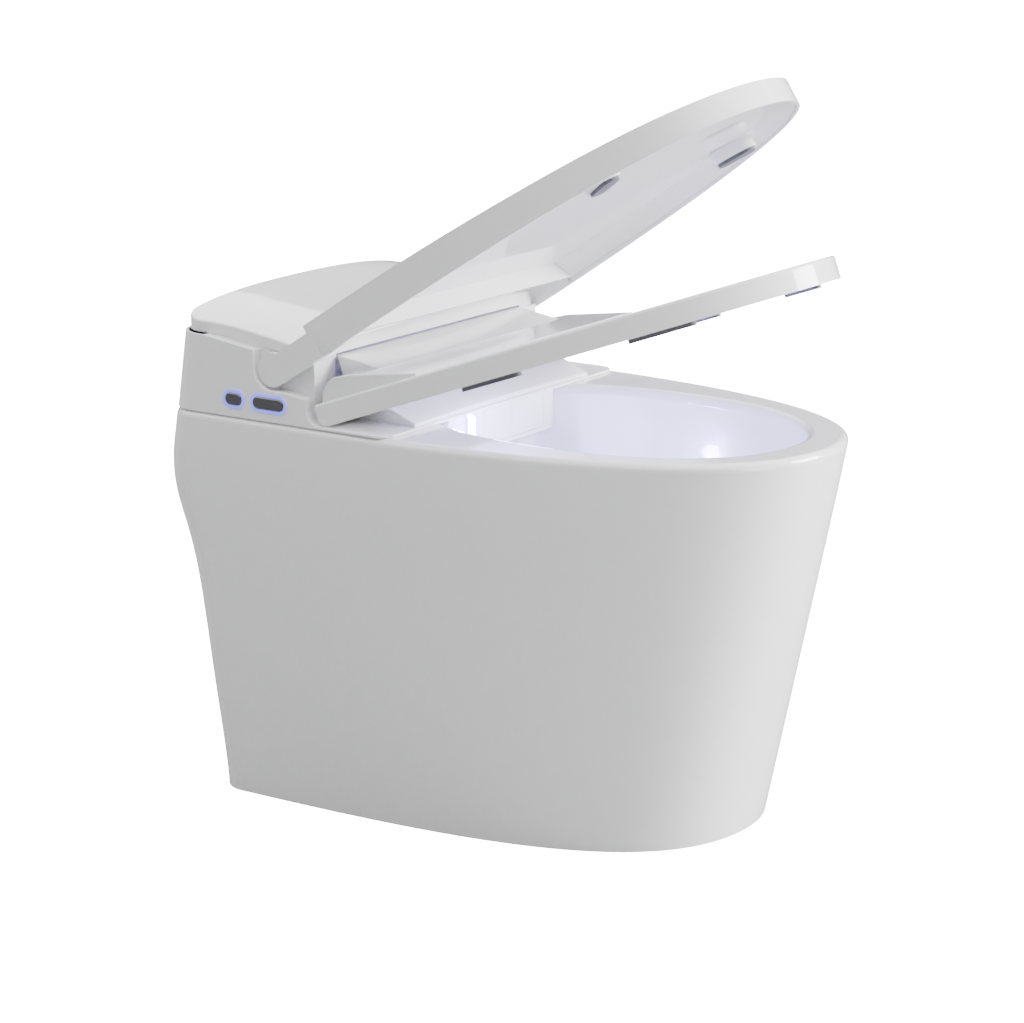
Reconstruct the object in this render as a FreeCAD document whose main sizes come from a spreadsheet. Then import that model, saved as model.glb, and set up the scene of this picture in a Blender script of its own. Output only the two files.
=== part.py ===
import FreeCAD, Part
"""Smart toilet with heated seat: china body, base housing, powered lid and seat, wash wand.

Frame: origin on the floor under the middle of the body, -Y is the front, +Z is up, the keys are on the -X side.
All lengths are millimetres and all angles degrees.
"""
import Sketcher
import math
import os
import re
from FreeCAD import Placement, Rotation, Vector

# name of the size, its value, what it sets
SIZES = """
body_width      410    full width of the china at the deck
foot_width      370    full width of the china at the floor
deck_top        394    height of the china's flat top
front_reach     324    front of the rim from the origin
foot_front      238    front of the foot from the origin
back_reach      324    back of the body at its widest
deck_back       316.5  back of the china at its top
foot_back       279    back of the foot
bulge_height    330    height at which the back is widest
undercut_height 215    height at which the undercut ends
undercut_back   299.5  back of the china where the undercut ends
deck_corner     32     plan radius of the back corners at the deck
foot_corner     36     plan radius of the back corners at the floor
side_straight   -100   where the deck's straight side ends, measured forward of the origin
rim_side_full   0.579  handle of the deck outline at the side
rim_front_full  0.697  handle of the deck outline at the front
foot_straight   -231   where the foot's straight side ends, measured forward of the origin
foot_side_full  0.533  handle of the foot outline at the side
foot_front_full 0.917  handle of the foot outline at the front
china_wall      12     thickness of the china
deck_thick      16     thickness of the china under the deck
deck_edge       8      radius of the deck's outer edge
bowl_half       136    half width of the bowl's mouth
bowl_front      280    front of the bowl's mouth from the origin
bowl_rear       95     rear of the bowl's mouth behind the origin
bowl_middle     87     centre line of the bowl's mouth, forward of the origin
bowl_edge       9      radius of the mouth's edge
sump_half       44     half width of the sump
sump_front      118    front of the sump from the origin
sump_rear       -22    rear of the sump, negative is forward of the origin
sump_height     120    height of the sump's floor
slot_half       93     half width of the notch for the nose in the bowl's rear
slot_floor      350.5  height of the notch's floor
well_half       148    half width of the rear well
well_front      152    front wall of the rear well
well_back       277    back wall of the rear well
well_floor      122    floor of the rear well
outlet_reach    30     drain centre behind the origin
outlet_radius   48     outer radius of the drain spigot
trap_radius     27     inner radius of the trapway
weir_height     214    height of the trapway's bend over the bowl floor
inlet_side      115    water inlet to the left of the centre
inlet_height    152    height of the water inlet
seam_gap        0.3    joint between stacked pieces
plastic_wall    3      thickness of the housing walls
housing_half    203.5  half width of the housing at the seam
housing_top_half 201.5 half width of the housing at its top
housing_back    315.5  back of the housing at the seam
housing_lean    7      how far the housing's back leans forward
housing_height  482    height to which the lean is measured
wing_front      44     front end of the side wings behind the origin
wing_thick      2.3    thickness of the side wings
inset_half      191    half width of the housing between the lid's arms
inset_front     138    front wall of the housing
shelf_front     139.5  front of the side shelf
shelf_top       421.5  height of the side shelf at its front
shelf_rear      425    height of the side shelf under the lid's hinge
notch_clear     3.5    room round the lid's hinge ends
hinge_rear      183    lid axis behind the origin
hinge_height    445.5  lid axis height
seat_axis_rear  120    seat axis behind the origin
seat_axis_height 430   seat axis height
cover_half      191.5  half width of the top cover
cover_front     127    front of the cover on the centre line
cover_bow       14     how far the cover's front corners stand behind its middle
cover_back      307    back of the cover
cover_corner    30     plan radius of the cover's back corners
cover_band      9.5    height of the cover's edge
cover_side_front 466   height of the cover's side edge at the front
cover_side_kink 481    height of the cover's side edge where it levels out
cover_kink      243    where the cover's side edge levels out
cover_crown     12     rise of the cover's middle over its side
cover_back_crown 19    rise of the cover's middle over its side at the back
pocket_half     158.2  half width of the pocket for the seat's wedge
pocket_radius   34.4   radius of that pocket round the seat axis
apron_half      152    half width of the ramp under the seat
lip_front       47     front of the ramp's lip
lip_middle      49.4   front of the lip on the centre line
lip_top         399.5  height of the lip
ramp_slope      0.41   rise of the ramp
nose_half       92     half width of the nose
nose_front      50     front face of the nose
nose_back       96     back of the nose
nose_foot       352    underside of the nose
barrel_radius   11     radius of the damper barrels
barrel_inner    92     inner end of the damper barrels
door_left       -32    left edge of the wand door
door_right      16     right edge of the wand door
door_top        392.5  top of the wand door
door_foot       356.5  foot of the wand door
flap_left       20     left edge of the vent flap
flap_right      74     right edge of the vent flap
flap_middle     374    height of the vent flap's pins
panel_thick     2.5    thickness of the door and the flap
panel_gap       0.6    gap round the door and the flap
light_left      -84    left edge of the night light
light_right     -46    right edge of the night light
light_foot      360    foot of the night light
light_top       392    top of the night light
light_depth     11     depth of the night light's recess
wand_side       -8     wand axis beside the centre
wand_slope      18     fall of the wand
wand_cross      366    height at which the wand's axis crosses the nose's face
wand_set_back   30     wand tip behind the nose's face at rest
wand_radius     7.5    radius of the wand
wand_length     118    length of the wand
guide_wall      2.2    wall of the wand's guide
slide_gap       0.35   room between wand and guide
lid_open        32.93  angle of the lid in the rest pose
lid_half        200.5  half width of the lid
lid_length      518    hinge to tip of the lid
lid_straight    40     straight side of the lid from its hinge
lid_side_full   0.522  handle of the lid outline at the side
lid_front_full  0.797  handle of the lid outline at the front
lid_low         -17.5  lower edge of the lid from its axis
lid_low_rise    3.8    rise of that edge towards the tip
lid_top_rear    19     upper side edge of the lid from its axis
lid_top_front   5.2    the same at the tip
lid_crown       6      rise of the lid's middle over its side
lid_wall        3.5    thickness of the lid
lid_arm         7      thickness of the lid's arms
lid_arm_radius  17     radius of the arms' ends
lid_arm_top     11     top of the arms from the axis
lid_notch       55     end of the arms' thin part from the axis
lid_rear_side   58     rear edge of the lid's plate at the sides
lid_rear_middle 70     rear edge of the lid's plate on the centre line
lid_under_rear  11.5   underside of the lid's rear edge from the axis
liner_slope     26     width of the liner's sloped border
lid_block       92     rear end of the lid's hollow from the axis
liner_thick     2.4    thickness of the liner
buffer_side     119    lid buffers beside the centre
buffer_reach    384    lid buffers from the lid axis
shaft_radius    5      radius of the lid's drive shafts
run_gap         0.05   running clearance
seat_open       19.64  angle of the seat in the rest pose
seat_half       200    half width of the seat
seat_tip        449    seat axis to the seat's tip
seat_end        17     how far the seat reaches behind its axis
seat_straight   84     straight side of the seat from its axis
seat_side_full  0.541  handle of the seat outline at the side
seat_front_full 0.583  handle of the seat outline at the front
seat_low        -31.5  lower face of the seat from its axis
seat_thick      23     thickness of the seat ring
seat_wall       3      thickness of the seat's shell
seat_end_round  12     radius of the seat's lower rear corner
hole_half       110    half width of the seat's opening
hole_front      374    front of the opening from the axis
hole_rear       126    rear of the opening from the axis
hole_middle     262    widest place of the opening from the axis
shoulder_half   191.5  half width of the seat's shoulders
shoulder_top    12     top of the shoulders over the axis
shoulder_front  107    where the shoulders run out
wedge_half      157    half width of the seat's wedge
wedge_top       33     top of the wedge over the axis
wedge_rear      6.3    rear of the wedge behind the axis
wedge_front     42     front edge of the wedge
wedge_low       7      height of the wedge's front edge over the axis
pin_radius      4      radius of the seat's hinge pins
key_height      412    height of the side keys
key_small_rear  228.6  middle of the short key
key_small_length 21    length of the short key
key_large_rear  185.4  middle of the long key
key_large_length 38.5  length of the long key
key_width       12.5   height of both keys
key_travel      1.2    travel of the keys
key_stand       1.6    how far the keys stand out
ring_width      3      width of the light rings
ring_stand      0.6    how far the light rings stand out
cover_edge      2.5    rounding of the cover's edge
apron_edge      1.5    rounding of the ramp's edges
seat_edge       3      rounding of the seat's upper edge
shoulder_edge   1.5    rounding of the seat's shoulders and wedge
small_edge      1      rounding of the housing's and the arms' edges
board_lift      8      posts under the control board
board_left      -5     left edge of the control board
board_width     64     width of the control board
board_front     216    front of the control board
board_depth     70     depth of the control board
bolt_side       172    housing bolts beside the centre
bolt_front      222    front pair of housing bolts
bolt_rear       278    rear pair of housing bolts
hose_rear       241    supply hose behind the origin
wash_port_side  -32    wash hose beside the centre
wash_port_rear  218    wash hose behind the origin
fan_side        48     dryer fan beside the centre
fan_rear        190    dryer fan behind the origin
door_bead       2.7    radius of the bead round the door's pins
flap_bead       3.2    flap pins behind the nose's face
pivot_radius    1.2    radius of the door's and flap's pins
damper_radius   8.2    radius of the seat's damper and gear motor
pin_start       136    inner end of the seat's hinge pins
pin_end         185    outer end of the seat's hinge pins
buffer_turn     22     turn of the lid buffers in plan
buffer_length   40     length of the lid buffers
buffer_width    18     width of the lid buffers
heater_rear     112    rear end of the heating film from the axis
pad_rear        184    rear seat buffers from the axis
pad_rear_side   183    rear seat buffers beside the centre
pad_front       347    front seat buffers from the axis
pad_front_side  130    front seat buffers beside the centre
pad_length      65     length of the seat buffers
pad_width       11     width of the seat buffers
pad_height      4      height of the seat buffers
wand_head       22     length of the wand's tip
guide_start     14     front of the guide, along the wand from the nose's face
guide_end       75     rear of the guide along the wand
guide_foot_front 64    front of the guide's foot
valve_back      262    back of the inlet valve
inlet_end       316    end of the inlet thread
gland_end       306    end of the power gland
pump_side       112    flush pump beside the centre
pump_rear       200    flush pump behind the origin
flush_rise      194    flush hose's bend above the well's floor
pump_radius     27     radius of the flush pump
heater_width    122    width of the water heater
heater_depth    78     depth of the water heater
heater_height   40     height of the water heater
heater_left     -150   left side of the water heater
heater_front    206    front of the water heater
motor_end       172    outer end of the lid's motor and damper
motor_length    62     length of the lid's motor and damper
motor_radius    15     radius of the lid's motor and damper
hub_radius      18     radius of the hubs on the lid's drive shafts
hub_length      12     length of the hubs on the lid's drive shafts
duct_front      67     front of the dryer duct
"""

DOC = FreeCAD.newDocument("smart_toilet")
SHEET = DOC.addObject("Spreadsheet::Sheet", "sizes")
NAMES = []
NODES = []


def fill_sheet():
    rows = [line.split(None, 2) for line in SIZES.strip().splitlines()]
    for row, (name, value, note) in enumerate(rows, start=1):
        SHEET.set("A%d" % row, name)
        SHEET.set("B%d" % row, value)
        SHEET.set("C%d" % row, note)
        SHEET.setAlias("B%d" % row, name)
        NAMES.append(name)
    DOC.recompute()


class Sheet:
    """Sizes read from the sheet by name."""

    def __getattr__(self, name):
        return float(getattr(SHEET, name))


d = Sheet()
fill_sheet()


def linked(text):
    """An expression in the sheet's names, with the sheet put before each."""
    return re.sub(r"[a-z_]+", lambda m: "sizes." + m.group(0) if m.group(0) in NAMES else m.group(0), str(text))


def node(obj, label):
    """Register an object as one exported node."""
    obj.Label = label
    NODES.append(obj)
    return obj


def feature(label, shape, placement=None):
    """A node whose shape is worked out here from the sheet's values."""
    obj = DOC.addObject("Part::Feature", label)
    obj.Shape = shape
    if placement is not None:
        obj.Placement = placement
    return node(obj, label)


# ---------- primitives bound to the sheet ----------

def bind(obj, **expressions):
    for name, text in expressions.items():
        obj.setExpression(name.replace("__", "."), linked(text))
    return obj


def placed(obj, at):
    return bind(obj, Placement__Base__x=at[0], Placement__Base__y=at[1], Placement__Base__z=at[2])


def block(name, extent, at):
    """A box from its low corner."""
    obj = DOC.addObject("Part::Box", name)
    bind(obj, Length=extent[0], Width=extent[1], Height=extent[2])
    return placed(obj, at)


AXES = {
    "x": Rotation(Vector(0, 1, 0), 90),
    "y": Rotation(Vector(1, 0, 0), -90),
    "z": Rotation(),
}


def rod(name, radius, length, axis, at):
    """A cylinder along one axis, from its low end."""
    obj = DOC.addObject("Part::Cylinder", name)
    obj.Placement = Placement(Vector(), AXES[axis])
    bind(obj, Radius=radius, Height=length)
    return placed(obj, at)


def fused(label, shapes):
    obj = DOC.addObject("Part::MultiFuse", label)
    obj.Shapes = shapes
    return obj


def cut(label, base, tool):
    obj = DOC.addObject("Part::Cut", label)
    obj.Base = base
    obj.Tool = tool
    return obj


def group(label, shapes):
    """Separate solids under one node."""
    obj = DOC.addObject("Part::Compound", label)
    obj.Links = shapes
    return node(obj, label)


# ---------- sketched bodies bound to the sheet ----------

def plane_of(body, role):
    return next(item for item in body.Origin.OriginFeatures if item.Role == role)


def new_body(label):
    body = DOC.addObject("PartDesign::Body", label)
    return node(body, label)


def sketch_on(body, role, name):
    sketch = body.newObject("Sketcher::SketchObject", name)
    sketch.AttachmentSupport = [(plane_of(body, role), "")]
    sketch.MapMode = "FlatFace"
    return sketch


def pin_point(sketch, edge, u, v):
    """Hold an edge's start at sheet-bound coordinates."""
    for kind, text, axis_line in (("DistanceX", u, -2), ("DistanceY", v, -1)):
        if str(text) == "0":
            sketch.addConstraint(Sketcher.Constraint("PointOnObject", edge, 1, axis_line))
        else:
            index = sketch.addConstraint(Sketcher.Constraint(kind, edge, 1, 10.0))
            sketch.setExpression("Constraints[%d]" % index, linked(text))


def polygon(body, role, name, corners):
    """A closed outline of straight edges with every corner bound to the sheet."""
    sketch = sketch_on(body, role, name)
    count = len(corners)
    rough = [Vector(10 * math.cos(2 * math.pi * i / count), 10 * math.sin(2 * math.pi * i / count), 0)
             for i in range(count)]
    for i in range(count):
        sketch.addGeometry(Part.LineSegment(rough[i], rough[(i + 1) % count]), False)
    for i in range(count):
        sketch.addConstraint(Sketcher.Constraint("Coincident", i, 2, (i + 1) % count, 1))
    for i, (u, v) in enumerate(corners):
        pin_point(sketch, i, u, v)
    return sketch


def stadium(body, role, name, length, height, growth):
    """A long round-ended slot round the sketch's origin, wider by the growth on every side."""
    sketch = sketch_on(body, role, name)
    half, rad = 10.0, 5.0
    up, side = Vector(0, 0, 1), Vector(half, 0, 0)
    sketch.addGeometry(Part.LineSegment(Vector(-half, -rad, 0), Vector(half, -rad, 0)), False)
    sketch.addGeometry(Part.ArcOfCircle(Part.Circle(side, up, rad), -math.pi / 2, math.pi / 2), False)
    sketch.addGeometry(Part.LineSegment(Vector(half, rad, 0), Vector(-half, rad, 0)), False)
    sketch.addGeometry(Part.ArcOfCircle(Part.Circle(-side, up, rad), math.pi / 2, 3 * math.pi / 2), False)
    for i in range(4):
        sketch.addConstraint(Sketcher.Constraint("Tangent", i, 2, (i + 1) % 4, 1))
    sketch.addConstraint(Sketcher.Constraint("Equal", 1, 3))
    sketch.addConstraint(Sketcher.Constraint("PointOnObject", 1, 3, -1))
    sketch.addConstraint(Sketcher.Constraint("Symmetric", 1, 3, 3, 3, -1, 1))
    radius = sketch.addConstraint(Sketcher.Constraint("Radius", 1, rad))
    sketch.setExpression("Constraints[%d]" % radius, linked("%s / 2 + %s" % (height, growth)))
    reach = sketch.addConstraint(Sketcher.Constraint("DistanceX", 3, 3, 1, 3, 2 * half))
    sketch.setExpression("Constraints[%d]" % reach, linked("%s - %s" % (length, height)))
    return sketch


def pad(body, sketch, length, reverse=False):
    item = body.newObject("PartDesign::Pad", sketch.Name + "_pad")
    item.Profile = sketch
    item.Reversed = reverse
    item.setExpression("Length", linked(length))
    return item


def pocket(body, sketch, length, reverse=False):
    item = body.newObject("PartDesign::Pocket", sketch.Name + "_pocket")
    item.Profile = sketch
    item.Reversed = reverse
    item.setExpression("Length", linked(length))
    return item


def revolved(body, sketch, axis):
    item = body.newObject("PartDesign::Revolution", sketch.Name + "_turn")
    item.Profile = sketch
    item.ReferenceAxis = (sketch, [axis])
    item.Angle = 360
    return item


# ---------- free forms ----------

def bezier(*poles):
    curve = Part.BezierCurve()
    curve.setPoles(list(poles))
    return curve.toShape()


def line(a, b):
    return Part.LineSegment(a, b).toShape()


def mirrored(point):
    return Vector(-point.x, point.y, point.z)


def egg_wire(height_of, half, back, corner, straight, tip, side_full, front_full):
    """Plan outline: straight back with round corners, straight sides, full front drawn by two curves.

    back, straight and tip are y values; height_of gives z for a y, so that the outline may lie on a slope.
    """
    def at(x, y):
        return Vector(x, y, height_of(y))

    reach = straight - tip
    turn = corner * (1 - math.sqrt(0.5))
    right = [at(half - corner, back), at(half - turn, back - turn), at(half, back - corner), at(half, straight)]
    curve = [right[3], at(half, straight - side_full * reach), at(front_full * half, tip), at(0, tip)]
    left = [mirrored(p) for p in right]
    edges = [line(left[0], right[0])]
    edges += [bezier(right[0], *corner_handles(right[0], right[2], at(half, back)), right[2])]
    edges += [line(right[2], right[3]), bezier(*curve), bezier(*[mirrored(p) for p in reversed(curve)])]
    edges += [line(left[3], left[2])]
    edges += [bezier(left[2], *corner_handles(left[2], left[0], at(-half, back)), left[0])]
    return Part.Wire(edges)


ROUND = 0.5523


def corner_handles(start, end, tip):
    """Handles of the curve that rounds a corner like a quarter circle."""
    return start + (tip - start) * ROUND, end + (tip - end) * ROUND


def oval_wire(z, half, front, rear, middle, front_full=0.6, rear_full=0.6):
    """A closed oval from four curves; front, rear and middle are y values."""
    def quarter(end, full):
        reach = end - middle
        return [Vector(half, middle, z), Vector(half, middle + full * reach, z), Vector(full * half, end, z),
                Vector(0, end, z)]

    front_right = quarter(front, front_full)
    rear_right = quarter(rear, rear_full)
    edges = [bezier(*front_right), bezier(*[mirrored(p) for p in reversed(front_right)])]
    edges += [bezier(*[mirrored(p) for p in rear_right]), bezier(*reversed(rear_right))]
    return Part.Wire(edges)


def loft(wires, ruled=False):
    return Part.makeLoft(wires, True, ruled)


def lifted(wire, height):
    """The solid over a flat outline."""
    return Part.Face(wire).extrude(Vector(0, 0, height))


def side_prism(points, half, low=None):
    """A closed outline of (y, z) corners or arcs, extruded across x."""
    edges = []
    for start, end in zip(points, points[1:] + points[:1]):
        if len(start) == 3:
            start = start[:2]
        first = Vector(-half, *start[:2])
        last = Vector(-half, *end[:2])
        if len(end) == 3:
            edges.append(Part.Arc(first, Vector(-half, *end[2]), last).toShape())
        else:
            edges.append(line(first, last))
    face = Part.Face(Part.Wire(edges))
    if low is None:
        return face.extrude(Vector(2 * half, 0, 0))
    right = face.extrude(Vector(half - low, 0, 0))
    return right.fuse(right.mirror(Vector(), Vector(1, 0, 0)))


def cuboid(x, y, z):
    """A box from three (low, high) pairs."""
    return Part.makeBox(x[1] - x[0], y[1] - y[0], z[1] - z[0], Vector(x[0], y[0], z[0]))


def bar(radius, x0, x1, y, z):
    """A cylinder along x."""
    return Part.makeCylinder(radius, x1 - x0, Vector(x0, y, z), Vector(1, 0, 0))


def both(shape):
    return shape.fuse(shape.mirror(Vector(), Vector(1, 0, 0)))


def bends(shape):
    """Each inner edge with the angle between its two faces and its middle point."""
    owners = {}
    for face in shape.Faces:
        for edge in face.Edges:
            owners.setdefault(edge.hashCode(), []).append((face, edge))
    for pairs in owners.values():
        if len(pairs) == 2:
            edge = pairs[0][1]
            middle = edge.valueAt((edge.FirstParameter + edge.LastParameter) / 2)
            normals = [face.normalAt(*face.Surface.parameter(middle)) for face, _ in pairs]
            yield edge, math.degrees(normals[0].getAngle(normals[1])), middle


def soften(shape, radius, test):
    """Round the sharp edges whose middle point passes the test."""
    chosen = [edge for edge, angle, middle in bends(shape) if angle > 25 and test(middle)]
    return shape.makeFillet(radius, chosen)


# ---------- the china ----------

def blend(low, high, share):
    return low + (high - low) * share


def body_section(z, back, inset=0.0):
    """Outline of the china at one height, drawn in by an inset."""
    share = z / d.deck_top
    half = blend(d.foot_width, d.body_width, min(1, z / d.bulge_height)) / 2 - inset
    tip = -blend(d.foot_front, d.front_reach, share) + inset
    straight = -blend(d.foot_straight, d.side_straight, share)
    side_full = blend(d.foot_side_full, d.rim_side_full, share)
    front_full = blend(d.foot_front_full, d.rim_front_full, share)
    corner = blend(d.foot_corner, d.deck_corner, share) - inset / 2
    return egg_wire(lambda y: z, half, back - inset, corner, straight, tip, side_full, front_full)


def back_profile():
    """Height and back of the china from the floor to the deck."""
    rise = d.bulge_height - d.undercut_height
    return [
        (0.0, d.foot_back),
        (d.undercut_height / 2, blend(d.foot_back, d.undercut_back, 0.46)),
        (d.undercut_height, d.undercut_back),
        (d.undercut_height + 0.48 * rise, blend(d.undercut_back, d.back_reach, 0.46)),
        (d.undercut_height + 0.84 * rise, blend(d.undercut_back, d.back_reach, 0.93)),
        (d.bulge_height + 8, d.back_reach),
        (d.deck_top, d.deck_back),
    ]


def rounding(radius):
    """Steps of a quarter round: how far below the top, and how far drawn in."""
    for step in range(5):
        turn = math.radians(22.5 * step)
        yield radius * (1 - math.sin(turn)), radius * (1 - math.cos(turn))


def china_outside():
    shoulder = d.deck_top - d.deck_edge
    lean = (d.back_reach - d.deck_back) / (d.deck_top - d.bulge_height - 8)
    edge_back = d.deck_back + lean * d.deck_edge
    main = [body_section(z, back) for z, back in back_profile() if z < shoulder]
    main.append(body_section(shoulder, edge_back))
    edge = [body_section(d.deck_top - drop, edge_back, inset) for drop, inset in rounding(d.deck_edge)]
    return loft(main).fuse(loft(edge))


def china_cavity():
    """The hollow inside the skirt, open at the floor."""
    top = d.deck_top - d.deck_thick
    profile = back_profile()
    levels = [profile[0], profile[2], profile[4], (top, blend(d.back_reach, d.deck_back, 0.6))]
    return loft([body_section(z, back, d.china_wall) for z, back in levels], True)


def bowl_form(grow, top, ruled=False):
    """The bowl's space, grown by a wall."""
    mouth = (d.bowl_half + grow, -d.bowl_front - grow, d.bowl_rear + grow, -d.bowl_middle)
    sump = (d.sump_half + grow, -d.sump_front - grow, d.sump_rear + grow, (-d.sump_front + d.sump_rear) / 2)
    shares = ((top, 0.0), (d.deck_top - 40, 0.03), (d.deck_top - 110, 0.22), (d.deck_top - 190, 0.62),
              (d.sump_height + 34 - grow, 0.94), (d.sump_height - grow, 1.12))
    wires = []
    for z, share in shares:
        half, front, rear, middle = [blend(a, b, share) for a, b in zip(mouth, sump)]
        wires.append(oval_wire(z, half, front, rear, middle, 0.6, 0.66))
    return loft(wires, ruled)


def mouth_edge():
    """The rounding of the bowl's mouth, as a tool that widens towards the deck."""
    rad = d.bowl_edge
    wires = []
    for drop, grow in rounding(rad):
        wires.append(oval_wire(d.deck_top - drop, d.bowl_half + grow, -d.bowl_front - grow, d.bowl_rear + grow,
                               -d.bowl_middle, 0.6, 0.66))
    return loft(wires)


def trap_form(radius):
    """The trapway: from the sump up over the weir and down to the drain."""
    run = d.outlet_reach
    rise = [Vector(0, d.sump_rear - 30, d.sump_height + 26), Vector(0, run - 34, d.weir_height - 12)]
    over = Vector(0, run - 6, d.weir_height + 8)
    drop = [Vector(0, run, d.weir_height - 30), Vector(0, run, 0)]
    parts = []
    for a, b in (rise, (rise[1], over), (over, drop[0]), drop):
        parts.append(Part.makeCylinder(radius, (b - a).Length, a, b - a))
    parts += [Part.makeSphere(radius, p) for p in (rise[0], rise[1], over, drop[0])]
    return parts[0].multiFuse(parts[1:])


def well_form(grow):
    return cuboid((-d.well_half - grow, d.well_half + grow), (d.well_front - grow, d.well_back + grow),
                  (d.well_floor - grow, d.deck_top + 5))


def ceramic_body():
    wall = d.china_wall
    outside = china_outside()
    inside = bowl_form(wall, d.deck_top, True).fuse([well_form(wall - 2), trap_form(d.trap_radius + wall - 3)])
    skin = outside.cut(china_cavity())
    whole = skin.fuse(inside.common(outside))
    spigot = Part.makeCylinder(d.outlet_radius, 40, Vector(0, d.outlet_reach, 0))
    whole = whole.fuse(spigot)
    slot = cuboid((-d.slot_half, d.slot_half), (d.bowl_rear - 45, d.well_front + 1), (d.slot_floor, d.deck_top + 5))
    trap = trap_form(d.trap_radius)
    mouth = bowl_form(0, d.deck_top)
    flush = Part.makeCylinder(11.3, 20, Vector(d.pump_side, d.well_front - 15, d.well_floor + d.flush_rise),
                              Vector(0, 1, 0))
    bolts = [Part.makeCylinder(4.4, 30, Vector(x, y, d.deck_top - 25)) for x, y in bolt_places()]
    inlet = Part.makeCylinder(12, 60, Vector(-d.inlet_side, d.well_back - 5, d.inlet_height), Vector(0, 1, 0))
    gland = Part.makeCylinder(9, 60, Vector(d.inlet_side, d.well_back - 5, d.inlet_height), Vector(0, 1, 0))
    whole = whole.cut([mouth, mouth_edge(), well_form(0), slot, trap, inlet, gland, flush] + bolts)
    return feature("ceramic_body", whole.removeSplitter())


# ---------- the housing ----------

def crown_solid(stations, half, low, drop=0.0):
    """Body under a surface that rolls up from its side edges; stations are (y, side, middle) heights."""
    wires = []
    for y, side, middle in stations:
        side, middle = side - drop, middle - drop
        rise = middle - side
        right = [Vector(half, y, side), Vector(0.78 * half, y, side + 0.8 * rise),
                 Vector(0.47 * half, y, middle), Vector(0, y, middle)]
        left = [mirrored(p) for p in reversed(right)]
        foot_right, foot_left = Vector(half, y, low), Vector(-half, y, low)
        wires.append(Part.Wire([line(foot_left, left[-1]), bezier(*reversed(left)), bezier(*reversed(right)),
                                line(right[0], foot_right), line(foot_right, foot_left)]))
    return loft(wires)


def cover_stations():
    kink = d.cover_kink
    front, back = d.cover_front - 17, d.cover_back + 11
    slope = (d.cover_side_kink - d.cover_side_front) / (kink - d.inset_front)
    level = d.cover_side_kink + 0.5
    return [
        (front, d.cover_side_front - slope * (d.inset_front - front), d.cover_side_front + d.cover_crown - 1),
        (d.inset_front, d.cover_side_front, d.cover_side_front + d.cover_crown + 2.5),
        (190, d.cover_side_front + slope * (190 - d.inset_front), d.cover_side_kink + d.cover_crown - 6),
        (kink, d.cover_side_kink - 0.5, d.cover_side_kink + d.cover_crown + 0.5),
        (kink + 32, level, level + d.cover_crown + 4),
        (back, level, level + d.cover_back_crown + 1),
    ]


def seam_line():
    """Points of the joint between housing and cover, seen from the side."""
    slope = (d.cover_side_kink - d.cover_side_front) / (d.cover_kink - d.inset_front)
    low_front = d.cover_side_front - d.cover_band
    low_back = d.cover_side_kink - d.cover_band
    return [(d.cover_front - 27, low_front - slope * (d.inset_front - d.cover_front + 27)),
            (d.cover_kink, low_back), (d.cover_back + 30, low_back + 0.5)]


def under_seam(drop):
    seam = [(y, z - drop) for y, z in seam_line()]
    return side_prism([(0, 380), (0, seam[0][1])] + seam + [(seam[-1][0], 380)], 230)


def housing_block(inset):
    """Leaning outer walls of the housing, before its side profile is cut."""
    top = d.housing_height + 10
    lean = d.housing_lean * (top - d.deck_top) / (d.housing_height - d.deck_top)
    wires = []
    for z, half, back, corner in ((d.deck_top, d.housing_half, d.housing_back, 30),
                                  (top, d.housing_top_half, d.housing_back - lean, 40)):
        wires.append(egg_wire(lambda y, z=z: z, half - inset, back - inset, corner - inset, 60, 20, 0.3, 0.9))
    return loft(wires)


def arc_through(centre_y, centre_z, radius, first, last):
    """Middle and end of an arc round a centre, for a side outline."""
    def at(angle):
        turn = math.radians(angle)
        return centre_y + radius * math.cos(turn), centre_z + radius * math.sin(turn)
    return at(first), at((first + last) / 2), at(last)


def side_profile(inset):
    """The low outer part: wing, notch for the seat's end, shelf, notch for the lid's hinge."""
    ay, az = d.hinge_rear, d.hinge_height
    floor = d.deck_top + d.seam_gap
    start, middle, end = arc_through(ay, az, d.lid_arm_radius + d.notch_clear + inset, -99, 0)
    seam_end = (d.cover_back + 40, d.housing_height)
    seat_back = d.seat_axis_rear + d.seat_end
    heel = (seat_back - d.seat_end_round, d.seat_axis_height + d.seat_low + d.seat_end_round)
    tail = [(start[0] + 0.3, d.shelf_rear - inset + 0.3), (end[0], end[1], middle), (end[0] + 1, d.housing_height - 19),
            seam_end, (seam_end[0], floor + inset)]
    if inset:
        return [(d.shelf_front + inset, floor + inset), (d.shelf_front + inset, d.shelf_top - inset)] + tail
    toe, bend, rise = arc_through(heel[0], heel[1], d.seat_end_round + 2, -86, 0)
    return [(d.wing_front, floor), (d.wing_front, floor + d.wing_thick), (toe[0], floor + d.wing_thick),
            (rise[0], rise[1], bend), (d.shelf_front, d.shelf_top), (162.3, d.shelf_top + 3.3)] + tail


def housing_form(inset):
    floor = d.deck_top + d.seam_gap + inset
    outer = side_prism(side_profile(inset), 230)
    inner = cuboid((-d.inset_half + inset, d.inset_half - inset), (d.inset_front + inset, 360), (floor, 520))
    form = housing_block(inset).common(outer.fuse(inner))
    pocket_bar = bar(d.pocket_radius + inset, -d.pocket_half - inset, d.pocket_half + inset,
                     d.seat_axis_rear, d.seat_axis_height)
    return form.cut(pocket_bar)


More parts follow.
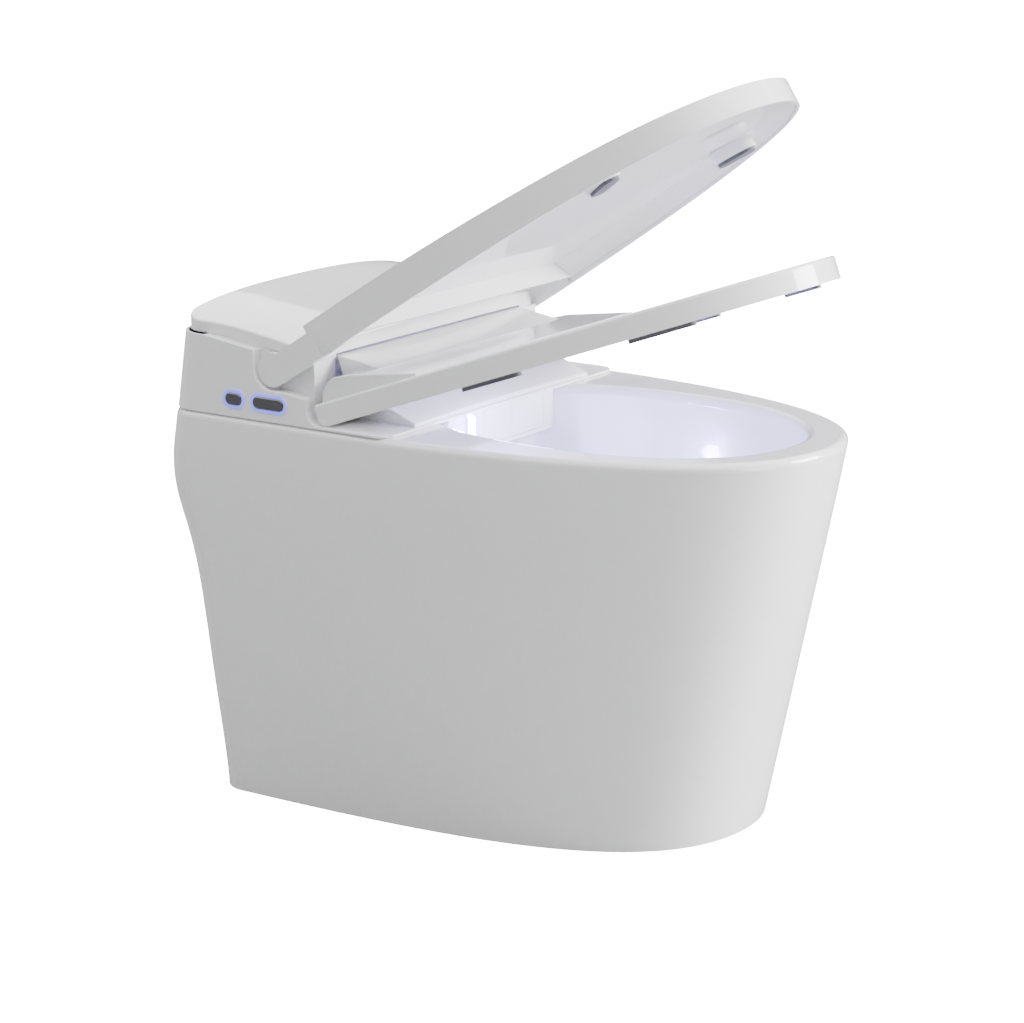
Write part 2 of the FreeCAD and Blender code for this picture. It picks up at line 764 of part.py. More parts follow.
def key_hole(middle, length, growth, x0, x1):
    """A stadium-shaped prism along x at a key."""
    rad = d.key_width / 2 + growth
    half = (length - d.key_width) / 2
    parts = [Part.makeCylinder(rad, x1 - x0, Vector(x0, middle + side * half, d.key_height), Vector(1, 0, 0))
             for side in (-1, 1)]
    parts.append(cuboid((x0, x1), (middle - half, middle + half), (d.key_height - rad, d.key_height + rad)))
    return parts[0].multiFuse(parts[1:]).removeSplitter()


def keys():
    return ((d.key_small_rear, d.key_small_length), (d.key_large_rear, d.key_large_length))


def housing_shell():
    wall = d.plastic_wall
    lid_y, lid_z = d.hinge_rear, d.hinge_height
    outside = housing_form(0).common(under_seam(d.seam_gap)).removeSplitter()
    outside = soften(outside, d.small_edge, lambda m: abs(m.x) > 200 and m.z > 400 and m.y < 200)
    shell = outside.cut(housing_form(wall))
    floor_z = d.deck_top + d.seam_gap
    posts = [Part.makeCylinder(3, d.board_lift, Vector(x, y, floor_z + wall)) for x in d_board_x() for y in d_board_y()]
    shell = shell.fuse(posts)
    cuts = [cuboid((-d.apron_half - 0.3, d.apron_half + 0.3), (0, d.inset_front), (380, 520))]
    cuts.append(bar(d.shaft_radius + d.run_gap, -205, 205, lid_y, lid_z))
    cuts.append(cuboid((-22, 8), (120, 215), (390, 420)))
    cuts.append(cuboid((-155, -82), (236, 246), (390, 398)))
    for y, length in keys():
        cuts.append(key_hole(y, length, d.ring_width + 0.1, -210, -190))
    for x, y in bolt_places():
        cuts.append(Part.makeCylinder(4.3, 20, Vector(x, y, floor_z - 5)))
    for x, y, rad in floor_ports():
        cuts.append(Part.makeCylinder(rad, 20, Vector(x, y, floor_z - 5)))
    return feature("housing_shell", shell.cut(cuts).removeSplitter())


def d_board_x():
    return d.board_left + 5, d.board_left + d.board_width - 5


def d_board_y():
    return d.board_front + 5, d.board_front + d.board_depth - 5


def bolt_places():
    return [(side * d.bolt_side, y) for side in (-1, 1) for y in (d.bolt_front, d.bolt_rear)]


def floor_ports():
    """Openings for the hoses and the dryer in the housing's floor: x, y, radius."""
    return ((-d.inlet_side, d.hose_rear, 9), (d.wash_port_side, d.wash_port_rear, 7), (d.fan_side, d.fan_rear, 12))


def cover_form(inset):
    corner = d.cover_corner - inset
    plan = egg_wire(lambda y: 400, d.cover_half - inset, d.cover_back - inset, corner, 160, 100, 0.4, 0.9)
    front_side = d.cover_front + d.cover_bow + inset
    front_mid = d.cover_front + inset
    bow = Part.Wire([Part.Arc(Vector(-215, front_side + 4, 400), Vector(0, front_mid, 400),
                              Vector(215, front_side + 4, 400)).toShape(),
                     line(Vector(215, front_side + 4, 400), Vector(215, 340, 400)),
                     line(Vector(215, 340, 400), Vector(-215, 340, 400)),
                     line(Vector(-215, 340, 400), Vector(-215, front_side + 4, 400))])
    body = crown_solid(cover_stations(), d.cover_half + 6, 425, inset)
    cover = body.common(lifted(plan, 130)).common(lifted(bow, 130))
    return cover if inset else soften(cover, d.cover_edge, lambda m: m.z > 440)


def top_cover():
    wall = d.plastic_wall
    ay, az = d.seat_axis_rear, d.seat_axis_height
    low = under_seam(0)
    pocket_wall = bar(d.pocket_radius + wall, -d.pocket_half - wall, d.pocket_half + wall, ay, az)
    corner_walls = both(cuboid((d.pocket_half, 220), (80, d.inset_front + wall), (400, 520)))
    hollow = cover_form(wall).cut([pocket_wall, corner_walls])
    pocket_bar = bar(d.pocket_radius, -d.pocket_half, d.pocket_half, ay, az)
    shape = cover_form(0).cut([low, hollow, pocket_bar])
    return feature("top_cover", shape.removeSplitter())


# ---------- the ramp and its nose ----------

def apron_plan(inset):
    """Plan of the ramp with its bowed lip."""
    half, back = d.apron_half - inset, d.inset_front - d.seam_gap
    tip = Vector(0, d.lip_middle + inset, 300)
    left, right = Vector(-half, d.lip_front + inset, 300), Vector(half, d.lip_front + inset, 300)
    far_left, far_right = Vector(-half, back, 300), Vector(half, back, 300)
    return lifted(Part.Wire([Part.Arc(left, tip, right).toShape(), line(right, far_right),
                             line(far_right, far_left), line(far_left, left)]), 200)


def apron_form(inset):
    rise = d.ramp_slope * (d.inset_front - d.lip_front)
    top = d.lip_top - inset * 1.05
    profile = [(d.lip_front - 10, top - 10 * d.ramp_slope), (d.inset_front, top + rise),
               (d.inset_front, d.deck_top + d.seam_gap), (d.lip_front - 10, d.deck_top + d.seam_gap)]
    if inset:
        profile = profile[:2] + [(d.inset_front, d.deck_top), (d.lip_front - 10, d.deck_top)]
    ramp = side_prism(profile, 200).common(apron_plan(inset))
    return ramp if inset else soften(ramp, d.apron_edge, lambda m: m.z > d.lip_top - 1.5)


def nose_form(inset):
    return cuboid((-d.nose_half + inset, d.nose_half - inset), (d.nose_front + inset, d.nose_back + inset),
                  (d.nose_foot + inset, d.lip_top - 1 + inset))


def pivot_boss(x0, x1, y, z):
    return cuboid((x0, x1), (d.nose_front, y + 4), (z - 4, min(z + 4, d.lip_top - 3)))


def door_axis():
    return d.nose_front + d.door_bead, d.door_top - d.door_bead


def flap_axis():
    return d.nose_front + d.flap_bead, d.flap_middle


def front_apron():
    wall = d.plastic_wall
    face, gap = d.nose_front, d.panel_gap
    pocket_walls = cuboid((d.light_left - 2.5, d.light_right + 2.5), (face, face + d.light_depth + 9),
                          (d.light_foot - 2.5, d.light_top + 2.5))
    inside = apron_form(wall).fuse(nose_form(wall))
    floor = d.deck_top + d.seam_gap
    ledge = cuboid((-d.apron_half, d.apron_half), (d.wing_front, d.lip_front + 9), (floor, floor + d.wing_thick))
    shell = apron_form(0).fuse([nose_form(0), ledge]).cut(inside)
    barrels = both(bar(d.barrel_radius, d.barrel_inner, d.apron_half, d.seat_axis_rear, d.seat_axis_height))
    dy, dz = door_axis()
    fy, fz = flap_axis()
    bosses = [pivot_boss(d.door_left - 6, d.door_left - gap, dy, dz), pivot_boss(d.door_right + gap, d.flap_left - gap, dy, dz),
              pivot_boss(d.flap_right + gap, d.flap_right + 6, fy, fz), pivot_boss(d.door_right + gap, d.flap_left - gap, fy, fz)]
    shell = shell.fuse([pocket_walls, barrels] + bosses)
    recess = cuboid((d.light_left, d.light_right), (face - 5, face + d.light_depth), (d.light_foot, d.light_top))
    edges = [e for e in recess.Edges if abs(e.BoundBox.YLength - d.light_depth - 5) < 0.01]
    recess = recess.makeFillet(9, edges)
    seat_box = cuboid((d.light_left + 1.5, d.light_right - 1.5), (face + d.light_depth - 1, face + d.light_depth + 10),
                      (d.light_foot + 1.5, d.light_top - 1.5))
    door = cuboid((d.door_left - gap, d.door_right + gap), (face - 3, face + wall + 0.05), (d.door_foot - gap, d.door_top + gap))
    flap = cuboid((d.flap_left - gap, d.flap_right + gap), (face - 3, face + wall + 0.05), (d.door_foot - gap, d.door_top + gap))
    inner_ends = both(bar(d.damper_radius + 0.2, d.barrel_inner - 1, d.pin_start - 2, d.seat_axis_rear, d.seat_axis_height))
    pins = both(bar(d.pin_radius + d.run_gap, d.pin_start - 3, d.apron_half + 5, d.seat_axis_rear, d.seat_axis_height))
    small = [bar(d.pivot_radius + d.run_gap, d.door_left - 3.2, d.door_right + 3.2, dy, dz),
             bar(d.pivot_radius + d.run_gap, d.flap_left - 2.4, d.flap_right + 3.2, fy, fz)]
    shape = shell.cut([recess, seat_box, door, flap, inner_ends, pins] + small)
    return feature("front_apron", shape.removeSplitter())


def wand_door():
    y, z = door_axis()
    face = d.nose_front
    plate = cuboid((d.door_left, d.door_right), (face, face + d.panel_thick), (d.door_foot, z))
    bead = bar(d.door_bead, d.door_left, d.door_right, y, z)
    pins = bar(d.pivot_radius, d.door_left - 3, d.door_right + 3, y, z)
    return feature("wand_door", plate.fuse([bead, pins]).removeSplitter())


def vent_flap():
    y, z = flap_axis()
    face = d.nose_front
    plate = cuboid((d.flap_left, d.flap_right), (face, face + d.panel_thick), (d.door_foot, d.door_top))
    rib = cuboid((d.flap_left, d.flap_right), (face + 1, y + 2), (z - 2, z + 2))
    pins = bar(d.pivot_radius, d.flap_left - 2.2, d.flap_right + 3, y, z)
    return feature("vent_flap", plate.fuse([rib, pins]).removeSplitter())


# ---------- the lid, drawn closed and then turned about its axis ----------

def turned(axis_y, axis_z, angle):
    """Placement that opens a piece about an axis along x."""
    return Placement(Vector(), Rotation(Vector(1, 0, 0), -angle), Vector(0, axis_y, axis_z))


def lid_placement():
    return turned(d.hinge_rear, d.hinge_height, d.lid_open)


def seat_placement():
    return turned(d.seat_axis_rear, d.seat_axis_height, d.seat_open)


def lid_stations():
    ay, az = d.hinge_rear, d.hinge_height
    drop = d.lid_top_rear - d.lid_top_front
    heights = ((-40, 0.0), (40, 0.0), (120, 0.04), (200, 0.10), (300, 0.30), (400, 0.56), (470, 0.80), (535, 1.06))
    return [(ay - s, az + d.lid_top_rear - share * drop, az + d.lid_top_rear - share * drop + d.lid_crown)
            for s, share in reversed(heights)]


def lid_plan(inset, back, corner, height_of):
    ay = d.hinge_rear
    return egg_wire(height_of, d.lid_half - inset, back, corner, ay - d.lid_straight, ay - d.lid_length + inset,
                    d.lid_side_full, d.lid_front_full)


def lid_plate(inset):
    """The lid's plate with its side walls, open below."""
    ay, az = d.hinge_rear, d.hinge_height
    outline = lifted(lid_plan(inset, ay + 30, 8, lambda y: az - 60), 120)
    rear_side, rear_mid = ay - d.lid_rear_side - inset, ay - d.lid_rear_middle - inset
    half = d.lid_half + 4
    bow = Part.Wire([Part.Arc(Vector(-half, rear_side, az - 60), Vector(0, rear_mid, az - 60),
                              Vector(half, rear_side, az - 60)).toShape(),
                     line(Vector(half, rear_side, az - 60), Vector(half, -400, az - 60)),
                     line(Vector(half, -400, az - 60), Vector(-half, -400, az - 60)),
                     line(Vector(-half, -400, az - 60), Vector(-half, rear_side, az - 60))])
    top = crown_solid(lid_stations(), d.lid_half + 1, az - 60, inset)
    return outline.common(lifted(bow, 120)).common(top)


def lid_underside():
    """Everything below the lid's lower edge."""
    ay, az = d.hinge_rear, d.hinge_height
    low, tip = az + d.lid_low, az + d.lid_low + d.lid_low_rise
    return side_prism([(ay + 60, low - 90), (ay + 60, low), (ay, low), (ay - d.lid_length, tip),
                       (ay - d.lid_length - 40, tip), (ay - d.lid_length - 40, low - 90)], 230)


def lid_shell():
    ay, az = d.hinge_rear, d.hinge_height
    hollow = lid_plate(d.lid_wall).cut(cuboid((-300, 300), (ay - d.lid_block, ay + 60), (az - 80, az + 80)))
    rear_room = cuboid((-d.lid_half + d.lid_arm, d.lid_half - d.lid_arm), (ay - d.lid_block - 0.01, ay + 60),
                       (az - 80, az + d.lid_under_rear))
    arms = both(cuboid((d.lid_half - d.lid_arm, d.lid_half), (ay - d.lid_notch - 8, ay), (az - d.lid_arm_radius, az + d.lid_arm_top))
                .fuse(bar(d.lid_arm_radius, d.lid_half - d.lid_arm, d.lid_half, ay, az)))
    arms = arms.removeSplitter()
    shape = lid_plate(0).cut([hollow, rear_room]).fuse(arms).cut(lid_underside())
    bores = both(bar(d.shaft_radius + d.run_gap, d.lid_half - d.lid_arm - 1, d.lid_half - 1.5, ay, az))
    shape = shape.cut(bores).removeSplitter()
    for part in sorted(shape.Solids, key=lambda s: -s.Volume)[:1]:
        shape = part
    return feature("lid_shell", shape, lid_placement())


def liner_form(grow):
    ay, az = d.hinge_rear, d.hinge_height
    skin = d.liner_thick * grow
    edge = d.lid_wall + 0.3

    def level(y):
        return az - 12 - 0.01 * grow

    def tray(y):
        share = (ay - 90 - y) / (d.lid_length - 90)
        return az + blend(9, -1, share) - skin
    outer = lid_plan(edge + skin, ay + 30, 8, level)
    inner = lid_plan(edge + d.liner_slope + skin, ay + 30, 8, tray)
    rear = ay - d.lid_block - 1 - skin
    ahead = side_prism([(-400, az - 60), (-400, az + 60), (rear - 14, az + 60), (rear, az - 60)], 230)
    return Part.makeLoft([outer, inner], True, True).common(ahead)


def lid_liner():
    ay, az = d.hinge_rear, d.hinge_height
    shape = liner_form(0).cut(liner_form(1))
    shape = shape.fuse(buffer_bosses())
    return feature("lid_liner", shape.removeSplitter(), lid_placement())


def lid_buffer_frame(side):
    return Placement(Vector(side * d.buffer_side, d.hinge_rear - d.buffer_reach, d.hinge_height),
                     Rotation(Vector(0, 0, 1), side * d.buffer_turn))


def pill(length, width, low, high):
    """An upright stadium prism round the origin, long side along y."""
    half = (length - width) / 2
    parts = [Part.makeCylinder(width / 2, high - low, Vector(0, side * half, low)) for side in (-1, 1)]
    parts.append(cuboid((-width / 2, width / 2), (-half, half), (low, high)))
    return parts[0].multiFuse(parts[1:]).removeSplitter()


def buffer_bosses():
    parts = []
    for side in (-1, 1):
        boss = pill(d.buffer_length + 6, d.buffer_width + 6, -13, -0.5)
        boss.Placement = lid_buffer_frame(side)
        parts.append(boss)
    return parts


def lid_buffers():
    ay, az = d.hinge_rear, d.hinge_height
    parts = []
    for side in (-1, 1):
        pad_shape = pill(d.buffer_length, d.buffer_width, -13 - 3.2, -13)
        pad_shape.Placement = lid_buffer_frame(side)
        parts.append(pad_shape)
    shape = Part.makeCompound(parts)
    return feature("lid_buffers", shape, lid_placement())


# ---------- the seat, drawn closed and then turned about its axis ----------

def seat_plan(inset, back=None, corner=1.5):
    ay = d.seat_axis_rear
    back = ay + d.seat_end - inset if back is None else back
    return egg_wire(lambda y: d.seat_axis_height - 60, d.seat_half - inset, back, corner, ay - d.seat_straight,
                    ay - d.seat_tip + inset, d.seat_side_full, d.seat_front_full)


def hole_plan(grow, z):
    ay = d.seat_axis_rear
    return oval_wire(z, d.hole_half + grow, ay - d.hole_front - grow, ay - d.hole_rear + grow, ay - d.hole_middle,
                     0.6, 0.62)


def ring_form(inset):
    ay, az = d.seat_axis_rear, d.seat_axis_height
    top = az + d.seat_low + d.seat_thick - inset
    low = az + d.seat_low - (20 if inset else 0)
    ring = lifted(seat_plan(inset), 120)
    end = d.seat_end_round
    heel_y, heel_z = ay + d.seat_end - end, az + d.seat_low + end
    first, middle, last = arc_through(heel_y, heel_z, end - inset, -90, 0)
    back = ay + d.seat_end - inset
    if inset:
        profile = [(-400, low), (-400, top), (back, top), (back, low)]
    else:
        profile = [(-400, low), (-400, top), (back, top), (last[0], last[1]), (first[0], first[1], middle)]
    ring = ring.common(side_prism(profile, 230))
    return ring if inset else soften(ring, d.seat_edge, lambda m: abs(m.z - top) < 0.1 and m.y < ay - 5)


def shoulder_form(inset):
    ay, az = d.seat_axis_rear, d.seat_axis_height
    top = d.shoulder_top
    low = d.seat_low + d.seat_thick / 2
    profile = [(-13, -10), (-9, 0), (-2, top - 4), (9, top), (28, top - 1.6), (d.shoulder_front, -6), (d.shoulder_front, low), (-13, low)]
    shift = [(0.9, -0.2), (0.9, -0.3), (0.7, -0.8), (0.2, -1), (-0.1, -1), (0, -1.02), (0, 0), (0.9, 0)]
    points = [(ay - s - inset * ds, az + h + inset * dh) for (s, h), (ds, dh) in zip(profile, shift)]
    shoulder = side_prism(points, d.shoulder_half - inset)
    return shoulder if inset else soften(shoulder, d.shoulder_edge, lambda m: m.z > az - 9)


def wedge_form(inset):
    ay, az = d.seat_axis_rear, d.seat_axis_height
    points = [(ay + d.wedge_rear, az - 10), (ay + d.wedge_rear, az + d.wedge_top - 1.14 * inset),
              (ay - d.wedge_front, az + d.wedge_low - 1.14 * inset), (ay - d.wedge_front, az - 10)]
    wedge = side_prism(points, d.wedge_half - inset)
    return wedge if inset else soften(wedge, d.shoulder_edge, lambda m: m.z > az)


def cavity_form():
    """The room under the wedge, open below and behind."""
    ay, az = d.seat_axis_rear, d.seat_axis_height
    wall = d.seat_wall
    slope = (d.wedge_top - d.wedge_low) / (d.wedge_rear + d.wedge_front)
    reach = 75.0
    inner_low = -6 + (d.shoulder_front - reach) * (d.shoulder_top - 1.6 + 6) / (d.shoulder_front - 28) - wall * 1.05
    points = [(ay + 40, az - 60), (ay + 40, az + d.wedge_top - 1.14 * wall + slope * (40 - d.wedge_rear)),
              (ay - d.wedge_front, az + d.wedge_low - 1.14 * wall), (ay - reach, az + inner_low), (ay - reach, az - 60)]
    return side_prism(points, d.wedge_half - wall)


def seat_core(inset):
    return ring_form(inset).fuse([shoulder_form(inset), wedge_form(inset)])


def seat_shell():
    ay, az = d.seat_axis_rear, d.seat_axis_height
    wall = d.seat_wall
    outer = seat_core(0)
    hole = loft([hole_plan(0, az - 60), hole_plan(0, az + 60)])
    hole_wall = loft([hole_plan(wall, az - 60), hole_plan(wall, az + 60)])
    inner = ring_form(wall).fuse(shoulder_form(wall))
    keep = cuboid((-d.wedge_half, d.wedge_half), (ay - 78, ay + 60), (az - 70, az + 70))
    inner = inner.cut([hole_wall, keep])
    webs = both(cuboid((170, 174), (ay - 26, ay + 12), (az - 26, az + 11))).common(outer)
    shape = outer.cut([inner, hole]).fuse(webs).cut(cavity_form())
    shape = shape.cut(both(bar(d.pin_radius + 0.02, d.pin_start, d.pin_end, ay, az))).removeSplitter()
    return feature("seat_shell", shape, seat_placement())


def ring_layer(edge, low, thick):
    """A flat layer of the seat ring between two heights from the axis."""
    ay, az = d.seat_axis_rear, d.seat_axis_height
    layer = lifted(seat_plan(edge), 120)
    layer = layer.cut(loft([hole_plan(edge, az - 70), hole_plan(edge, az + 70)]))
    return layer.common(cuboid((-300, 300), (-400, 300), (az + low, az + low + thick)))


def seat_underplate():
    ay, az = d.seat_axis_rear, d.seat_axis_height
    middle = cuboid((-d.wedge_half - 0.3, d.wedge_half + 0.3), (ay - 78.3, ay + 60), (az - 70, az + 70))
    heel = cuboid((-300, 300), (ay + 3, ay + 60), (az - 70, az + 70))
    shape = ring_layer(d.seat_wall + 0.2, d.seat_low, 2.4).cut([middle, heel])
    return feature("seat_underplate", shape, seat_placement())


def seat_heater():
    ay, az = d.seat_axis_rear, d.seat_axis_height
    shape = ring_layer(d.seat_wall + 9, d.seat_low + d.seat_thick - d.seat_wall - 0.6, 0.6)
    shape = shape.common(cuboid((-300, 300), (-400, ay - d.heater_rear), (0, 600)))
    return feature("seat_heater", shape, seat_placement())


def seat_buffers():
    ay, az = d.seat_axis_rear, d.seat_axis_height
    parts = []
    for side in (-1, 1):
        for s, x, turn in ((d.pad_rear, d.pad_rear_side, 6.5), (d.pad_front, d.pad_front_side, 30)):
            one = pill(d.pad_length, d.pad_width, d.seat_low - d.pad_height, d.seat_low)
            one.Placement = Placement(Vector(side * x, ay - s, az), Rotation(Vector(0, 0, 1), -side * turn))
            parts.append(one)
    return feature("seat_buffers", Part.makeCompound(parts), seat_placement())


# ---------- wand, keys and inner pieces ----------

def wand_frame(along):
    """Placement on the wand's axis: local z points up and back along it."""
    turn = math.radians(d.wand_slope)
    base = Vector(d.wand_side, d.nose_front, d.wand_cross)
    ahead = Vector(0, math.cos(turn), math.sin(turn))
    return Placement(base + ahead * along, Rotation(Vector(0, 0, 1), ahead))


def on_wand(shape, along):
    shape.Placement = wand_frame(along)
    return shape


def wash_wand():
    start = d.wand_set_back + d.wand_head
    body = Part.makeCylinder(d.wand_radius, d.wand_length - d.wand_head)
    bore = Part.makeCylinder(d.wand_radius - 2, d.wand_length - d.wand_head - 4)
    return feature("wash_wand", body.cut(bore), wand_frame(start))


def wand_tip():
    head = Part.makeCylinder(d.wand_radius, d.wand_head)
    front = head.makeFillet(3, [head.Edges[2]])
    stem = Part.makeCylinder(d.wand_radius - 2 - d.run_gap, 9, Vector(0, 0, d.wand_head))
    jets = [Part.makeCylinder(1.1, 6, Vector(0, d.wand_radius - 3, z), Vector(0, 1, 0)) for z in (8, 13)]
    return feature("wand_tip", front.fuse(stem).cut(jets), wand_frame(d.wand_set_back))


def wand_guide():
    """Sleeve that carries the wand, with its foot and the water inlet block."""
    inner = d.wand_radius + d.slide_gap
    outer = inner + d.guide_wall
    length = d.guide_end - d.guide_start
    sleeve = on_wand(Part.makeCylinder(outer, length), d.guide_start)
    floor = d.nose_foot + d.plastic_wall
    side = d.wand_side
    foot = cuboid((side - 7, side + 7), (d.guide_foot_front, d.nose_back - 0.5), (floor, floor + 16))
    port = cuboid((d.wash_port_side - 7, side - 2), (102, 118), (360, 384))
    rest = cuboid((side, side + 13), (96, 110), (374, 390))
    bore = on_wand(Part.makeCylinder(inner, length + 60), d.guide_start - 30)
    shape = sleeve.fuse([foot, port, rest]).cut(bore)
    return feature("wand_guide", shape.removeSplitter())


def key_cap(label, middle, length):
    body = new_body(label)
    sketch = stadium(body, "YZ_Plane", label + "_outline", length, "key_width", "-0.3")
    shift_sketch(sketch, middle, "key_height")
    item = pad(body, sketch, "housing_half - 199 + key_stand")
    lift_sketch(sketch, "-(housing_half + key_stand)")
    chamfer_front(body, item, 0.8)
    stem_sketch = stadium(body, "YZ_Plane", label + "_stem", "8", "5", "0")
    shift_sketch(stem_sketch, middle, "key_height")
    pad(body, stem_sketch, "housing_half - 194 + key_stand")
    lift_sketch(stem_sketch, "-(housing_half + key_stand - 2)")
    return body


def shift_sketch(sketch, u, v):
    """Move a sketch within its plane by sheet sizes."""
    sketch.setExpression("AttachmentOffset.Base.x", linked(u))
    sketch.setExpression("AttachmentOffset.Base.y", linked(v))


def lift_sketch(sketch, w):
    sketch.setExpression("AttachmentOffset.Base.z", linked(w))


def chamfer_front(body, base, size):
    """Chamfer the outermost edges of a key."""
    DOC.recompute()
    low = base.Shape.BoundBox.XMin
    names = ["Edge%d" % (i + 1) for i, e in enumerate(base.Shape.Edges) if e.BoundBox.XMax < low + 0.01]
    item = body.newObject("PartDesign::Chamfer", base.Name + "_edge")
    item.Base = (base, names)
    item.Size = size
    return item


def light_ring(label, middle, length):
    body = new_body(label)
    outline = stadium(body, "YZ_Plane", label + "_outline", length, "key_width", "ring_width")
    shift_sketch(outline, middle, "key_height")
    lift_sketch(outline, "-(housing_half + ring_stand)")
    pad(body, outline, "housing_half + ring_stand - 199")
    hole = stadium(body, "YZ_Plane", label + "_hole", length, "key_width", "0")
    shift_sketch(hole, middle, "key_height")
    lift_sketch(hole, "-(housing_half + ring_stand + 1)")
    pocket(body, hole, "housing_half + ring_stand - 197", True)
    return body


def boxed(label, extent, at):
    return node(block(label, extent, at), label)


def lit_lens():
    lens = block("night_light", ("light_right - light_left - 3.4", "2.5", "light_top - light_foot - 3.4"),
                 ("light_left + 1.7", "nose_front + light_depth", "light_foot + 1.7"))
    board = block("night_light_board", ("light_right - light_left - 3.4", "1.6", "light_top - light_foot - 3.4"),
                  ("light_left + 1.7", "nose_front + light_depth + 2.8", "light_foot + 1.7"))
    node(lens, "night_light")
    node(board, "night_light_board")


def ring_of(label, outer, inner, length, axis, at):
    """A plain tube along one axis."""
    return cut(label, rod(label + "_outer", outer, length, axis, at), rod(label + "_bore", inner, length, axis, at))


def turned_body(label, corners, at):
    """A body of revolution about a line along y; corners are (radius, y) pairs."""
    body = new_body(label)
    sketch = polygon(body, "XY_Plane", label + "_section", corners)
    revolved(body, sketch, "V_Axis")
    bind(body, Placement__Base__x=at[0], Placement__Base__z=at[1])
    return body


def inlet_pieces():
    turned_body("inlet_fitting", [("4", "valve_back + 0.1"), ("8.5", "valve_back + 0.1"), ("8.5", "well_back - 4"),
                                  ("16", "well_back - 4"), ("16", "well_back"), ("10.5", "well_back"),
                                  ("10.5", "inlet_end"), ("4", "inlet_end")],
                ("-inlet_side", "inlet_height"))
    turned_body("power_gland", [("3", "well_back - 12"), ("13", "well_back - 12"), ("13", "well_back"), ("8.8", "well_back"),
                                ("8.8", "gland_end - 3"), ("6", "gland_end"), ("3", "gland_end")],
                ("inlet_side", "inlet_height"))
    base = block("valve_block", ("50", "valve_back - 225", "67.7"), ("-inlet_side - 25", "225", "well_floor + 0.3"))
    coil = rod("valve_coil", "13", "20", "y", ("-inlet_side", "205", "inlet_height + 10"))
    stub = rod("valve_stub", "9", "8", "z", ("-inlet_side", "hose_rear", "well_floor + 68"))
    node(fused("inlet_valve", [base, coil, stub]), "inlet_valve")
    hose = ring_of("supply_hose", "8", "5", "deck_top + seam_gap + plastic_wall - well_floor - 76.2",
                   "z", ("-inlet_side", "hose_rear", "well_floor + 76"))
    node(hose, "supply_hose")


def tank_and_pump():
    outer = block("tank_outer", ("156", "115", "175"), ("-78", "well_front + 4", "well_floor + 0.3"))
    inner = block("tank_inner", ("150", "109", "169"), ("-75", "well_front + 7", "well_floor + 3.3"))
    neck = rod("tank_neck", "22", "12", "z", ("0", "215", "well_floor + 170"))
    mouth = rod("tank_mouth", "18", "30", "z", ("0", "215", "well_floor + 160"))
    shell = cut("tank_shell", fused("tank_walls", [outer, neck]), inner)
    node(cut("flush_tank", shell, mouth), "flush_tank")
    body = rod("pump_body", "pump_radius", "65", "z", ("pump_side", "pump_rear", "well_floor + 0.3"))
    cap = rod("pump_cap", "17", "10", "z", ("pump_side", "pump_rear", "well_floor + 65"))
    stub = rod("pump_stub", "9", "12", "z", ("pump_side", "pump_rear", "well_floor + 72"))
    node(fused("flush_pump", [body, cap, stub]), "flush_pump")


def bent_hose(label, outer, inner, points, radius):
    """A hose of straight runs joined by a tangent arc at its one corner."""
    a, b, c = points
    ahead, away = (b - a).normalize(), (c - b).normalize()
    first, last = b - ahead * radius, b + away * radius
    centre = first + away * radius
    middle = centre + (b - centre).normalize() * radius
    path = Part.Wire([line(a, first), Part.Arc(first, middle, last).toShape(), line(last, c)])
    skins = []
    for rad in (outer, inner):
        ring = Part.Wire([Part.Circle(a, ahead, rad).toShape()])
        skins.append(path.makePipeShell([ring], True, True))
    return feature(label, skins[0].cut(skins[1]))


def hoses():
    x, y, z = d.pump_side, d.pump_rear, d.well_floor + 84
    high = d.well_floor + d.flush_rise
    bent_hose("flush_hose", 11, 8, [Vector(x, y, z), Vector(x, y, high), Vector(x, d.well_front - 10, high)], 30)
    top = d.deck_top + d.seam_gap + d.plastic_wall
    x, y = d.wash_port_side, d.wash_port_rear
    bent_hose("wash_hose", 5, 3, [Vector(x, y, top), Vector(x, y, 371), Vector(x, 118, 371)], 14)


def on_the_floor():
    level = "deck_top + seam_gap + plastic_wall"
    heater = block("heater_box", ("heater_width", "heater_depth", "heater_height"), ("heater_left", "heater_front", level))
    lugs = [rod("heater_lug%d" % i, "6", "3", "z", ("heater_left + %d" % x, "heater_front + heater_depth - 6", level))
            for i, x in enumerate((12, 110))]
    node(fused("water_heater", [heater] + lugs), "water_heater")
    boxed("power_supply", ("70", "75", "28"), ("85", "212", level))
    board = block("board_plate", ("board_width", "board_depth", "1.6"), ("board_left", "board_front", level + " + board_lift"))
    chips = [block("chip%d" % i, (w, h, "4"), ("board_left + %s" % x, "board_front + %s" % y, level + " + board_lift + 1.6"))
             for i, (x, y, w, h) in enumerate((("14", "15", "16", "16"), ("38", "12", "12", "22"), ("16", "44", "30", "12")))]
    node(fused("control_board", [board] + chips), "control_board")
    screws = []
    for i, x in enumerate(("5", "board_width - 5")):
        for j, y in enumerate(("5", "board_depth - 5")):
            screws.append(rod("screw%d%d" % (i, j), "2.8", "2", "z",
                              ("board_left + " + x, "board_front + " + y, level + " + board_lift + 1.6")))
    group("board_screws", screws)


